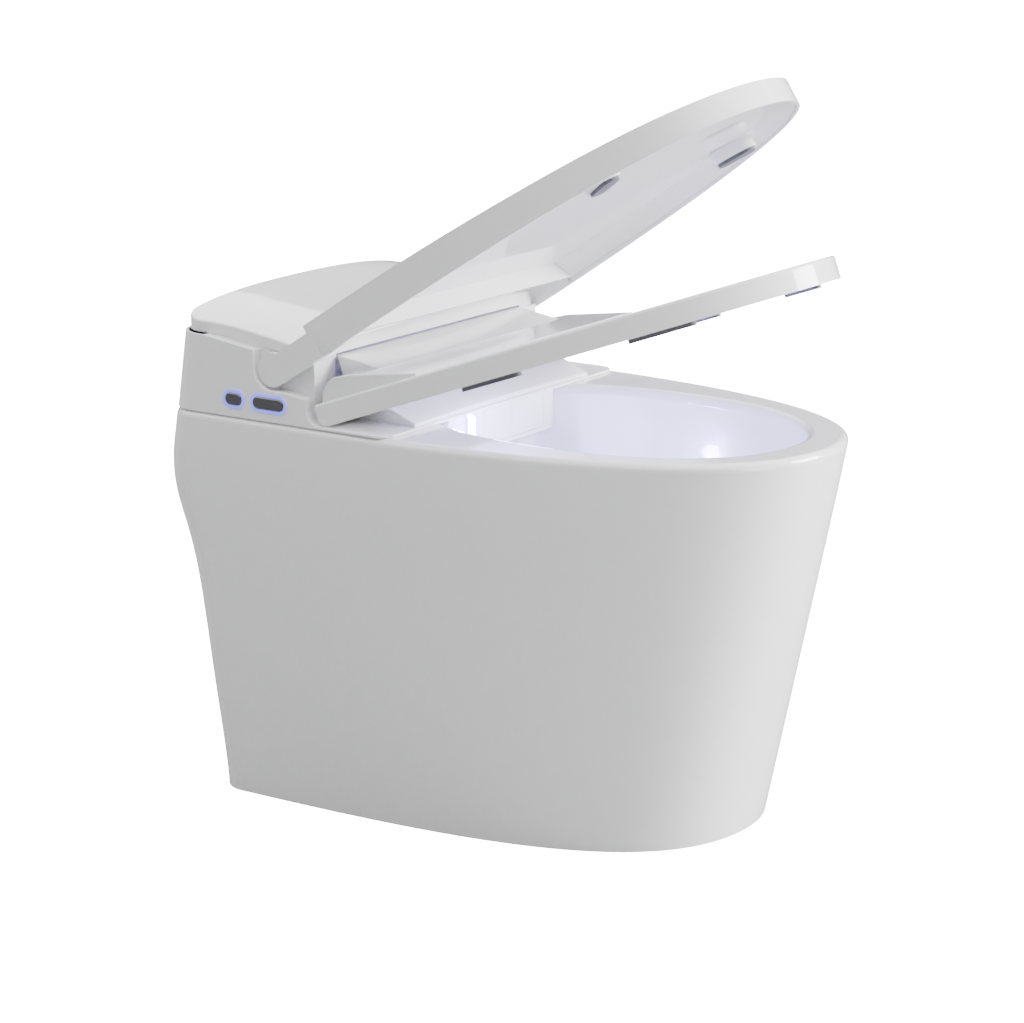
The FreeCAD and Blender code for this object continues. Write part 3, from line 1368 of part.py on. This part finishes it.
def drives():
    level = "deck_top + seam_gap + plastic_wall"
    for label, x in (("lid_gear_motor", "-motor_end"), ("lid_damper", "motor_end - motor_length")):
        drum = rod(label + "_drum", "motor_radius", "motor_length", "x", (x, "hinge_rear", "hinge_height"))
        foot = block(label + "_foot", ("motor_length", "18", "hinge_height - deck_top - seam_gap - plastic_wall"),
                     (x, "hinge_rear - 9", level))
        node(fused(label, [drum, foot]), label)
    reach, start = "lid_half - 1.6 - motor_end - 0.5", "motor_end + 0.5"
    shafts = []
    for side, x, hub_x in (("left", "-lid_half + 1.6", "-motor_end - 0.5 - hub_length"), ("right", start, start)):
        shaft = rod("shaft_" + side, "shaft_radius", reach, "x", (x, "hinge_rear", "hinge_height"))
        hub = rod("hub_" + side, "hub_radius", "hub_length", "x", (hub_x, "hinge_rear", "hinge_height"))
        shafts.append(fused("drive_" + side, [shaft, hub]))
    group("lid_drive_shafts", shafts)
    for label, x in (("seat_gear_motor", "-pin_start + 3"), ("seat_damper", "barrel_inner + 2")):
        node(rod(label, "damper_radius", "pin_start - barrel_inner - 5", "x", (x, "seat_axis_rear", "seat_axis_height")), label)
    pins = [rod("pin_left", "pin_radius", "pin_end - pin_start", "x", ("-pin_end", "seat_axis_rear", "seat_axis_height")),
            rod("pin_right", "pin_radius", "pin_end - pin_start", "x", ("pin_start", "seat_axis_rear", "seat_axis_height"))]
    group("seat_hinge_pins", pins)
    node(rod("wand_motor", "12", "20", "x", ("wand_side + 13", "103", "382")), "wand_motor")


def air_pieces():
    boxed("carbon_filter", ("44", "18", "34"), ("-84", "nose_back - 20", "nose_foot + plastic_wall"))
    drum = block("deodoriser_drum", ("44", "26", "34"), ("-84", "nose_back - 2", "nose_foot + plastic_wall"))
    node(drum, "deodoriser_fan")
    floor = "nose_foot + plastic_wall"
    outer = block("duct_outer", ("45", "150 - duct_front", "34"), ("25", "duct_front", floor))
    inner = block("duct_inner", ("41", "200", "30"), ("27", "duct_front - 20", floor + " + 2"))
    node(cut("dryer_duct", outer, inner), "dryer_duct")
    drum = rod("fan_drum", "34", "deck_top + seam_gap - 364.5", "z", ("fan_side", "fan_rear", "364.5"))
    mouth = block("fan_mouth", ("40.4", "40", "16"), ("27.3", "140", "366"))
    node(fused("dryer_fan", [drum, mouth]), "dryer_fan")


def drain_seal():
    outer = Part.makeCone(58, 52, 14, Vector(0, d.outlet_reach, 2))
    bore = Part.makeCylinder(d.outlet_radius, 30, Vector(0, d.outlet_reach, -2))
    return feature("drain_seal", outer.cut(bore))


def housing_bolts():
    parts = []
    level = d.deck_top + d.seam_gap + d.plastic_wall
    for x, y in bolt_places():
        head = Part.makeCylinder(6.5, 5, Vector(x, y, level))
        shank = Part.makeCylinder(4, 30, Vector(x, y, level - 30))
        nut_level = d.deck_top - d.deck_thick
        nut = Part.makePolygon([Vector(x + 7.5 * math.cos(math.pi * k / 3), y + 7.5 * math.sin(math.pi * k / 3), nut_level - 6.5)
                                for k in range(7)])
        parts.append(head.fuse([shank, Part.Face(nut).extrude(Vector(0, 0, 6.5))]).removeSplitter())
    return feature("housing_bolts", Part.makeCompound(parts))


ceramic_body()
housing_shell()
top_cover()
front_apron()
wand_door()
vent_flap()
lid_shell()
lid_liner()
lid_buffers()
seat_shell()
seat_underplate()
seat_heater()
seat_buffers()
wash_wand()
wand_tip()
wand_guide()
key_cap("button_small", "key_small_rear", "key_small_length")
key_cap("button_large", "key_large_rear", "key_large_length")
light_ring("light_ring_small", "key_small_rear", "key_small_length")
light_ring("light_ring_large", "key_large_rear", "key_large_length")
lit_lens()
inlet_pieces()
tank_and_pump()
hoses()
on_the_floor()
drives()
air_pieces()
drain_seal()
housing_bolts()


# ---------- checks and export ----------

def finish():
    DOC.recompute()
    for obj in DOC.Objects:
        if "Invalid" in obj.State or "Error" in obj.State:
            raise RuntimeError("%s did not build: %s" % (obj.Label, obj.State))
    for obj in NODES:
        if obj.Shape.isNull() or not obj.Shape.isValid():
            raise RuntimeError("%s has no valid shape" % obj.Label)
    os.makedirs("parts", exist_ok=True)
    for obj in NODES:
        obj.Shape.exportStep("parts/%s.step" % obj.Label)
        print("%-22s %2d solids %10.0f mm3" % (obj.Label, len(obj.Shape.Solids), obj.Shape.Volume))


finish()
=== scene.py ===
import math

import bmesh
import bpy
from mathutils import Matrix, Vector


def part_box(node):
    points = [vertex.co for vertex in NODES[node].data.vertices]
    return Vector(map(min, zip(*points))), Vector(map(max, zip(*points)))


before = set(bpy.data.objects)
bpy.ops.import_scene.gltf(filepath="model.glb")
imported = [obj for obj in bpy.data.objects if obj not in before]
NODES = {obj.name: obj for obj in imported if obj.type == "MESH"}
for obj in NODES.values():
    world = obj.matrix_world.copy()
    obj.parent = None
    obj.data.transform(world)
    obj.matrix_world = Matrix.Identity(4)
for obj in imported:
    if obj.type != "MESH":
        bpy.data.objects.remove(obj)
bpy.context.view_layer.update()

bl_info = {
    "name": "Smart Toilet Finish",
    "version": (1, 0, 0),
    "blender": (4, 5, 0),
    "location": "View3D > Sidebar > Toilet",
    "description": "Finishes and studio for a skirted smart toilet with a heated seat",
    "category": "Object",
}

EVEN = (1, 1, 1)                # a grain that runs the same way along every axis
SENSOR_WIDTH = 36.0             # mm
VIEW_DEPTH = 60.0               # m, how far the camera sees
FLOOR_HALF = 20.0               # m
FLOOR_DROP = 0.0005             # m, the floor's gap under the foot
LENS_STRENGTH = 0.9             # brightness of the night light's lens
LAMP_GAP = 0.002                # m, in front of the lens
SPILL_OFFSET = (0.02, -0.07, 0.005)   # m, from the middle of the lens's front
SPILL_SHARE = 0.5               # of the night light's power
SPILL_RADIUS = 0.03             # m


class ToiletFinishSettings(bpy.types.PropertyGroup):
    """Colours and strengths of the toilet's finishes."""

    glaze_colour: bpy.props.FloatVectorProperty(
        name="Glaze", description="Colour of the china's glaze", subtype="COLOR", size=3,
        min=0.0, max=1.0, default=(0.86, 0.86, 0.87))
    gloss_colour: bpy.props.FloatVectorProperty(
        name="Gloss plastic", description="Colour of the lid, seat and covers",
        subtype="COLOR", size=3, min=0.0, max=1.0, default=(0.87, 0.87, 0.885))
    buffer_colour: bpy.props.FloatVectorProperty(
        name="Buffers", description="Colour of the rubber buffers", subtype="COLOR", size=3,
        min=0.0, max=1.0, default=(0.10, 0.10, 0.115))
    key_colour: bpy.props.FloatVectorProperty(
        name="Keys", description="Colour of the key caps", subtype="COLOR", size=3,
        min=0.0, max=1.0, default=(0.13, 0.13, 0.14))
    ring_colour: bpy.props.FloatVectorProperty(
        name="Key rings", description="Colour of the lit rings round the keys",
        subtype="COLOR", size=3, min=0.0, max=1.0, default=(0.16, 0.16, 1.0))
    glow_colour: bpy.props.FloatVectorProperty(
        name="Night light", description="Colour of the night light", subtype="COLOR", size=3,
        min=0.0, max=1.0, default=(0.46, 0.36, 1.0))
    ring_strength: bpy.props.FloatProperty(
        name="Ring strength", description="Brightness of the key rings", min=0.0, default=1.1)
    glow_power: bpy.props.FloatProperty(
        name="Night light power", description="Power of the night light",
        min=0.0, default=1.6, unit="POWER")


class ToiletStageSettings(bpy.types.PropertyGroup):
    """Camera, floor and studio lights."""

    camera_place: bpy.props.FloatVectorProperty(
        name="Camera", description="Place of the camera", subtype="XYZ", size=3, unit="LENGTH",
        default=(-2.65987, -1.78163, 1.08711))
    camera_aim: bpy.props.FloatVectorProperty(
        name="Aim", description="Point at the middle of the picture",
        subtype="XYZ", size=3, unit="LENGTH",
        default=(0.0, 0.03765, 0.28342))
    camera_lens: bpy.props.FloatProperty(
        name="Lens", description="Focal length on a 36 mm sensor",
        min=1.0, default=116.02, unit="CAMERA")
    floor_colour: bpy.props.FloatVectorProperty(
        name="Floor", description="Colour of the floor", subtype="COLOR", size=3,
        min=0.0, max=1.0, default=(0.30, 0.30, 0.30))
    floor_lift: bpy.props.FloatProperty(
        name="Floor lift", description="How much whiter the camera sees the floor",
        min=0.0, default=26.0)
    sky_strength: bpy.props.FloatProperty(
        name="Fill", description="Strength of the even light from all round",
        min=0.0, default=0.20)
    key_power: bpy.props.FloatProperty(
        name="Key light", description="Power of the large front light",
        min=0.0, default=330.0, unit="POWER")
    low_power: bpy.props.FloatProperty(
        name="Low light", description="Power of the low light ahead of the bowl",
        min=0.0, default=35.0, unit="POWER")
    top_power: bpy.props.FloatProperty(
        name="Top light", description="Power of the overhead light",
        min=0.0, default=1000.0, unit="POWER")


# ---------- shader helpers ----------

def new_group(name, inputs, outputs):
    """An empty shader node group with its sockets; inputs are (name, kind, default)."""
    group = bpy.data.node_groups.new(name, "ShaderNodeTree")
    for label, kind, value in inputs:
        socket = group.interface.new_socket(label, in_out="INPUT", socket_type=kind)
        socket.default_value = value
    for label, kind in outputs:
        group.interface.new_socket(label, in_out="OUTPUT", socket_type=kind)
    source = group.nodes.new("NodeGroupInput")
    target = group.nodes.new("NodeGroupOutput")
    return group, source, target


def shade_drift_group():
    """Very slow variation of colour and gloss over a large glazed or moulded surface."""
    group, source, target = new_group(
        "shade_drift",
        (("Color", "NodeSocketColor", (0.8, 0.8, 0.8, 1.0)), ("Roughness", "NodeSocketFloat", 0.1),
         ("Scale", "NodeSocketFloat", 4.0), ("Shade", "NodeSocketFloat", 0.03),
         ("Gloss", "NodeSocketFloat", 0.03)),
        (("Color", "NodeSocketColor"), ("Roughness", "NodeSocketFloat")))
    nodes, links = group.nodes, group.links
    place = nodes.new("ShaderNodeTexCoord")
    cloud = nodes.new("ShaderNodeTexNoise")
    cloud.inputs["Detail"].default_value = 3.0
    links.new(place.outputs["Object"], cloud.inputs["Vector"])
    links.new(source.outputs["Scale"], cloud.inputs["Scale"])
    centred = nodes.new("ShaderNodeMath")
    centred.operation = "SUBTRACT"
    centred.inputs[1].default_value = 0.5
    links.new(cloud.outputs["Fac"], centred.inputs[0])
    shade = nodes.new("ShaderNodeMath")
    shade.operation = "MULTIPLY_ADD"
    shade.inputs[2].default_value = 1.0
    links.new(centred.outputs[0], shade.inputs[0])
    links.new(source.outputs["Shade"], shade.inputs[1])
    tint = nodes.new("ShaderNodeVectorMath")
    tint.operation = "SCALE"
    links.new(source.outputs["Color"], tint.inputs[0])
    links.new(shade.outputs[0], tint.inputs["Scale"])
    links.new(tint.outputs["Vector"], target.inputs["Color"])
    gloss = nodes.new("ShaderNodeMath")
    gloss.operation = "MULTIPLY_ADD"
    links.new(centred.outputs[0], gloss.inputs[0])
    links.new(source.outputs["Gloss"], gloss.inputs[1])
    links.new(source.outputs["Roughness"], gloss.inputs[2])
    links.new(gloss.outputs[0], target.inputs["Roughness"])
    return group


def surface_grain_group():
    """Height of a fine, even surface grain: orange peel, spark grain or glaze ripple."""
    group, source, target = new_group(
        "surface_grain",
        (("Scale", "NodeSocketFloat", 200.0), ("Stretch", "NodeSocketVector", (1.0, 1.0, 1.0)),
         ("Detail", "NodeSocketFloat", 2.0)),
        (("Height", "NodeSocketFloat"),))
    nodes, links = group.nodes, group.links
    place = nodes.new("ShaderNodeTexCoord")
    spread = nodes.new("ShaderNodeVectorMath")
    spread.operation = "MULTIPLY"
    links.new(place.outputs["Object"], spread.inputs[0])
    links.new(source.outputs["Stretch"], spread.inputs[1])
    grain = nodes.new("ShaderNodeTexNoise")
    links.new(spread.outputs["Vector"], grain.inputs["Vector"])
    links.new(source.outputs["Scale"], grain.inputs["Scale"])
    links.new(source.outputs["Detail"], grain.inputs["Detail"])
    links.new(grain.outputs["Fac"], target.inputs["Height"])
    return group


GROUPS = {}


def shared_group(name):
    """A shared effect, built the first time it is asked for."""
    makers = {"shade_drift": shade_drift_group, "surface_grain": surface_grain_group}
    if name not in GROUPS:
        GROUPS[name] = makers[name]()
    return GROUPS[name]


def finish_material(name, colour, roughness, drift, grain, relief, **sockets):
    """A material with a slow drift of shade and a fine surface grain.

    drift is its scale, shade and gloss, grain its scale, stretch and detail, relief its strength
    and distance. sockets set inputs of the shader itself.
    """
    material = bpy.data.materials.new(name)
    material.use_nodes = True
    nodes, links = material.node_tree.nodes, material.node_tree.links
    shader = nodes["Principled BSDF"]
    shade = nodes.new("ShaderNodeGroup")
    shade.node_tree = shared_group("shade_drift")
    shade.inputs["Color"].default_value = (*colour, 1.0)
    shade.inputs["Roughness"].default_value = roughness
    for label, value in zip(("Scale", "Shade", "Gloss"), drift):
        shade.inputs[label].default_value = value
    links.new(shade.outputs["Color"], shader.inputs["Base Color"])
    links.new(shade.outputs["Roughness"], shader.inputs["Roughness"])
    skin = nodes.new("ShaderNodeGroup")
    skin.node_tree = shared_group("surface_grain")
    for label, value in zip(("Scale", "Stretch", "Detail"), grain):
        skin.inputs[label].default_value = value
    bump = nodes.new("ShaderNodeBump")
    bump.inputs["Strength"].default_value, bump.inputs["Distance"].default_value = relief
    links.new(skin.outputs["Height"], bump.inputs["Height"])
    links.new(bump.outputs["Normal"], shader.inputs["Normal"])
    for label, value in sockets.items():
        shader.inputs[label.replace("_", " ")].default_value = value
    return material


def dress(material, *names):
    """Give CAD nodes a finish."""
    for name in names:
        mesh = NODES[name].data
        mesh.materials.clear()
        mesh.materials.append(material)


def settings():
    """The finishes' colours and strengths."""
    return bpy.context.scene.toilet_finish


# ---------- the pieces ----------

class TOILET_OT_china(bpy.types.Operator):
    """Glaze the china body"""
    bl_idname = "toilet.china"
    bl_label = "Glaze the china"

    def execute(self, context):
        glaze = finish_material(
            "white_glaze", settings().glaze_colour, 0.16,
            drift=(2.2, 0.02, 0.05), grain=(9.0, EVEN, 1.0),
            relief=(0.10, 0.0015), IOR=1.52, Coat_Weight=0.6, Coat_Roughness=0.03)
        dress(glaze, "ceramic_body")
        return {"FINISHED"}


class TOILET_OT_covers(bpy.types.Operator):
    """Finish the housing, the top cover and the ramp with its nose"""
    bl_idname = "toilet.covers"
    bl_label = "Finish the covers"

    def execute(self, context):
        colour = settings().gloss_colour
        gloss = finish_material(
            "high_gloss_white", colour, 0.07, drift=(3.0, 0.015, 0.02), grain=(40.0, EVEN, 1.0),
            relief=(0.03, 0.0003), IOR=1.5, Coat_Weight=0.5, Coat_Roughness=0.02)
        satin = finish_material(
            "moulded_white", colour, 0.2, drift=(5.0, 0.02, 0.04), grain=(160.0, EVEN, 2.0),
            relief=(0.04, 0.0002), IOR=1.47, Coat_Weight=0.15, Coat_Roughness=0.1)
        dress(gloss, "top_cover", "lid_shell", "lid_liner")
        dress(satin, "housing_shell", "front_apron", "wand_door", "vent_flap")
        return {"FINISHED"}


class TOILET_OT_seat(bpy.types.Operator):
    """Finish the seat ring and its underplate"""
    bl_idname = "toilet.seat"
    bl_label = "Finish the seat"

    def execute(self, context):
        warm = finish_material(
            "seat_white", settings().gloss_colour, 0.13,
            drift=(4.0, 0.015, 0.03), grain=(90.0, EVEN, 1.5),
            relief=(0.03, 0.0003), IOR=1.49, Coat_Weight=0.4, Coat_Roughness=0.04)
        dress(warm, "seat_shell", "seat_underplate")
        return {"FINISHED"}


class TOILET_OT_buffers(bpy.types.Operator):
    """Finish the rubber buffers and the drain seal"""
    bl_idname = "toilet.buffers"
    bl_label = "Finish the rubber"

    def execute(self, context):
        rubber = finish_material(
            "buffer_rubber", settings().buffer_colour, 0.55,
            drift=(30.0, 0.15, 0.12), grain=(900.0, EVEN, 3.0),
            relief=(0.25, 0.0002), IOR=1.45)
        dress(rubber, "seat_buffers", "lid_buffers", "drain_seal")
        return {"FINISHED"}


class TOILET_OT_keys(bpy.types.Operator):
    """Finish the side keys and their lit rings"""
    bl_idname = "toilet.keys"
    bl_label = "Finish the side keys"

    def execute(self, context):
        brushed = finish_material(
            "key_metal", settings().key_colour, 0.34,
            drift=(120.0, 0.2, 0.15), grain=(700.0, (1, 1, 14), 3.0),
            relief=(0.18, 0.0002), Metallic=0.9)
        dress(brushed, "button_small", "button_large")
        glow = settings().ring_colour
        ring = finish_material(
            "key_ring_light", (0.32, 0.33, 0.9), 0.35,
            drift=(60.0, 0.08, 0.05), grain=(300.0, EVEN, 2.0),
            relief=(0.05, 0.0002), Emission_Color=(*glow, 1.0),
            Emission_Strength=settings().ring_strength)
        dress(ring, "light_ring_small", "light_ring_large")
        return {"FINISHED"}


class TOILET_OT_night_light(bpy.types.Operator):
    """Finish the night light's lens and light the bowl with it"""
    bl_idname = "toilet.night_light"
    bl_label = "Light the night light"

    def execute(self, context):
        glow = settings().glow_colour
        lens = finish_material(
            "night_light_lens", (0.8, 0.78, 0.95), 0.4,
            drift=(25.0, 0.05, 0.05), grain=(400.0, EVEN, 2.0),
            relief=(0.1, 0.0002), Emission_Color=(*glow, 1.0), Emission_Strength=LENS_STRENGTH)
        dress(lens, "night_light")
        low, high = (Vector(corner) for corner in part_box("night_light"))
        middle = (low + high) / 2
        lamp = bpy.data.lights.new("night_light_lamp", "AREA")
        lamp.shape = "RECTANGLE"
        lamp.size, lamp.size_y = high.x - low.x, high.z - low.z
        lamp.energy = settings().glow_power
        lamp.color = glow
        holder = bpy.data.objects.new("night_light_lamp", lamp)
        holder.location = (middle.x, low.y - LAMP_GAP, middle.z)
        holder.rotation_euler = (math.radians(-90), 0, 0)
        context.scene.collection.objects.link(holder)
        spill = bpy.data.lights.new("night_light_spill", "POINT")
        spill.energy = settings().glow_power * SPILL_SHARE
        spill.color = glow
        spill.shadow_soft_size = SPILL_RADIUS
        glow_ball = bpy.data.objects.new("night_light_spill", spill)
        glow_ball.location = Vector((middle.x, low.y, middle.z)) + Vector(SPILL_OFFSET)
        context.scene.collection.objects.link(glow_ball)
        return {"FINISHED"}


class TOILET_OT_metal(bpy.types.Operator):
    """Finish the steel and brass pieces"""
    bl_idname = "toilet.metal"
    bl_label = "Finish the metal"

    def execute(self, context):
        steel = finish_material(
            "plated_steel", (0.55, 0.55, 0.57), 0.28,
            drift=(60.0, 0.1, 0.1), grain=(500.0, (8, 1, 1), 2.0),
            relief=(0.1, 0.0002), Metallic=1.0)
        polish = finish_material(
            "polished_steel", (0.72, 0.72, 0.74), 0.12,
            drift=(40.0, 0.05, 0.05), grain=(300.0, EVEN, 2.0),
            relief=(0.03, 0.0002), Metallic=1.0)
        brass = finish_material(
            "turned_brass", (0.62, 0.44, 0.18), 0.3,
            drift=(70.0, 0.15, 0.1), grain=(400.0, (1, 20, 1), 2.0),
            relief=(0.12, 0.0002), Metallic=1.0)
        dress(steel, "board_screws", "lid_drive_shafts", "seat_hinge_pins", "housing_bolts")
        dress(polish, "wash_wand", "wand_tip")
        dress(brass, "inlet_fitting")
        return {"FINISHED"}


class TOILET_OT_works(bpy.types.Operator):
    """Finish the pieces inside the housing and the well"""
    bl_idname = "toilet.works"
    bl_label = "Finish the inner works"

    def execute(self, context):
        moulding = finish_material(
            "grey_moulding", (0.52, 0.53, 0.55), 0.42,
            drift=(12.0, 0.08, 0.08), grain=(500.0, EVEN, 3.0),
            relief=(0.15, 0.0002))
        dress(moulding, "wand_guide", "power_supply", "water_heater", "inlet_valve", "flush_tank",
              "flush_pump", "deodoriser_fan", "dryer_fan", "dryer_duct", "wand_motor",
              "lid_gear_motor", "lid_damper", "seat_gear_motor", "seat_damper", "power_gland")
        board = finish_material(
            "board_green", (0.02, 0.13, 0.06), 0.4,
            drift=(80.0, 0.3, 0.1), grain=(600.0, EVEN, 2.0),
            relief=(0.1, 0.0002))
        dress(board, "night_light_board", "control_board")
        carbon = finish_material(
            "carbon_block", (0.02, 0.02, 0.02), 0.8,
            drift=(200.0, 0.6, 0.1), grain=(900.0, EVEN, 4.0),
            relief=(0.6, 0.0005))
        dress(carbon, "carbon_filter")
        silicone = finish_material(
            "hose_silicone", (0.5, 0.51, 0.53), 0.35,
            drift=(25.0, 0.06, 0.06), grain=(300.0, EVEN, 2.0),
            relief=(0.08, 0.0002))
        dress(silicone, "supply_hose", "wash_hose", "flush_hose")
        film = finish_material(
            "heating_film", (0.42, 0.18, 0.05), 0.45,
            drift=(90.0, 0.2, 0.1), grain=(500.0, EVEN, 2.0),
            relief=(0.1, 0.0002))
        dress(film, "seat_heater")
        return {"FINISHED"}


# ---------- the studio ----------

# Name, place, point it faces, width and length, and the setting that holds its power
SOFTBOXES = (
    ("front_softbox", (1.7, -2.5, 1.3), (0, -0.1, 0.3), (1.4, 1.6), "key_power"),
    ("low_softbox", (-0.5, -3.0, 0.6), (0, -0.1, 0.25), (1.2, 1.2), "low_power"),
    ("overhead_softbox", (1.2, 2.2, 3.8), (1.2, 2.2, 0.0), (10.0, 10.0), "top_power"),
)


def area_light(name, place, aim, size, power):
    """A white softbox at one place, turned towards another."""
    lamp = bpy.data.lights.new(name, "AREA")
    lamp.shape = "RECTANGLE"
    lamp.size, lamp.size_y = size
    lamp.energy = power
    holder = bpy.data.objects.new(name, lamp)
    holder.location = place
    holder.rotation_euler = (Vector(aim) - Vector(place)).to_track_quat("-Z", "Y").to_euler()
    bpy.context.scene.collection.objects.link(holder)


class TOILET_OT_studio(bpy.types.Operator):
    """Set up the camera, the pale floor and the soft studio lights"""
    bl_idname = "toilet.studio"
    bl_label = "Build the studio"

    def execute(self, context):
        stage = context.scene.toilet_stage
        camera = bpy.data.cameras.new("photo_camera")
        camera.lens = stage.camera_lens
        camera.sensor_width = SENSOR_WIDTH
        camera.sensor_fit = "HORIZONTAL"
        camera.clip_end = VIEW_DEPTH
        holder = bpy.data.objects.new("photo_camera", camera)
        holder.location = stage.camera_place
        aim = Vector(stage.camera_aim) - Vector(stage.camera_place)
        holder.rotation_euler = aim.to_track_quat("-Z", "Y").to_euler()
        context.scene.collection.objects.link(holder)
        context.scene.camera = holder

        world = bpy.data.worlds.new("studio_fill")
        world.use_nodes = True
        back = world.node_tree.nodes["Background"]
        back.inputs["Color"].default_value = (1.0, 1.0, 1.0, 1.0)
        back.inputs["Strength"].default_value = stage.sky_strength
        context.scene.world = world

        sheet = bmesh.new()
        bmesh.ops.create_grid(sheet, x_segments=2, y_segments=2, size=FLOOR_HALF)
        bmesh.ops.translate(sheet, verts=sheet.verts, vec=(0, 0, -FLOOR_DROP))
        mesh = bpy.data.meshes.new("studio_floor")
        sheet.to_mesh(mesh)
        sheet.free()
        floor = bpy.data.objects.new("studio_floor", mesh)
        context.scene.collection.objects.link(floor)
        paint = finish_material(
            "floor_paint", stage.floor_colour, 0.6,
            drift=(0.6, 0.01, 0.02), grain=(60.0, EVEN, 2.0),
            relief=(0.02, 0.0004), Emission_Strength=stage.floor_lift)
        nodes, links = paint.node_tree.nodes, paint.node_tree.links
        seen = nodes.new("ShaderNodeLightPath")
        links.new(seen.outputs["Is Camera Ray"], nodes["Principled BSDF"].inputs["Emission Color"])
        mesh.materials.append(paint)

        for name, place, aim, size, power in SOFTBOXES:
            area_light(name, place, aim, size, getattr(stage, power))
        return {"FINISHED"}


class TOILET_PT_panel(bpy.types.Panel):
    """Lists the toilet's finishing steps"""
    bl_idname = "TOILET_PT_panel"
    bl_label = "Smart toilet"
    bl_space_type = "VIEW_3D"
    bl_region_type = "UI"
    bl_category = "Toilet"

    def draw(self, context):
        layout = self.layout
        for name in STEPS:
            layout.operator("toilet." + name)
        for group in (context.scene.toilet_finish, context.scene.toilet_stage):
            for key in group.bl_rna.properties.keys():
                if key not in ("rna_type", "name"):
                    layout.prop(group, key)


STEPS = ("studio", "china", "covers", "seat", "buffers", "keys", "night_light", "metal", "works")
CLASSES = (
    ToiletFinishSettings, ToiletStageSettings, TOILET_OT_china, TOILET_OT_covers, TOILET_OT_seat,
    TOILET_OT_buffers, TOILET_OT_keys, TOILET_OT_night_light, TOILET_OT_metal, TOILET_OT_works,
    TOILET_OT_studio, TOILET_PT_panel,
)


def register():
    for item in CLASSES:
        bpy.utils.register_class(item)
    bpy.types.Scene.toilet_finish = bpy.props.PointerProperty(type=ToiletFinishSettings)
    bpy.types.Scene.toilet_stage = bpy.props.PointerProperty(type=ToiletStageSettings)


def unregister():
    del bpy.types.Scene.toilet_stage
    del bpy.types.Scene.toilet_finish
    for item in reversed(CLASSES):
        bpy.utils.unregister_class(item)


def main():
    register()
    for name in STEPS:
        getattr(bpy.ops.toilet, name)()


if __name__ == "__main__":
    main()
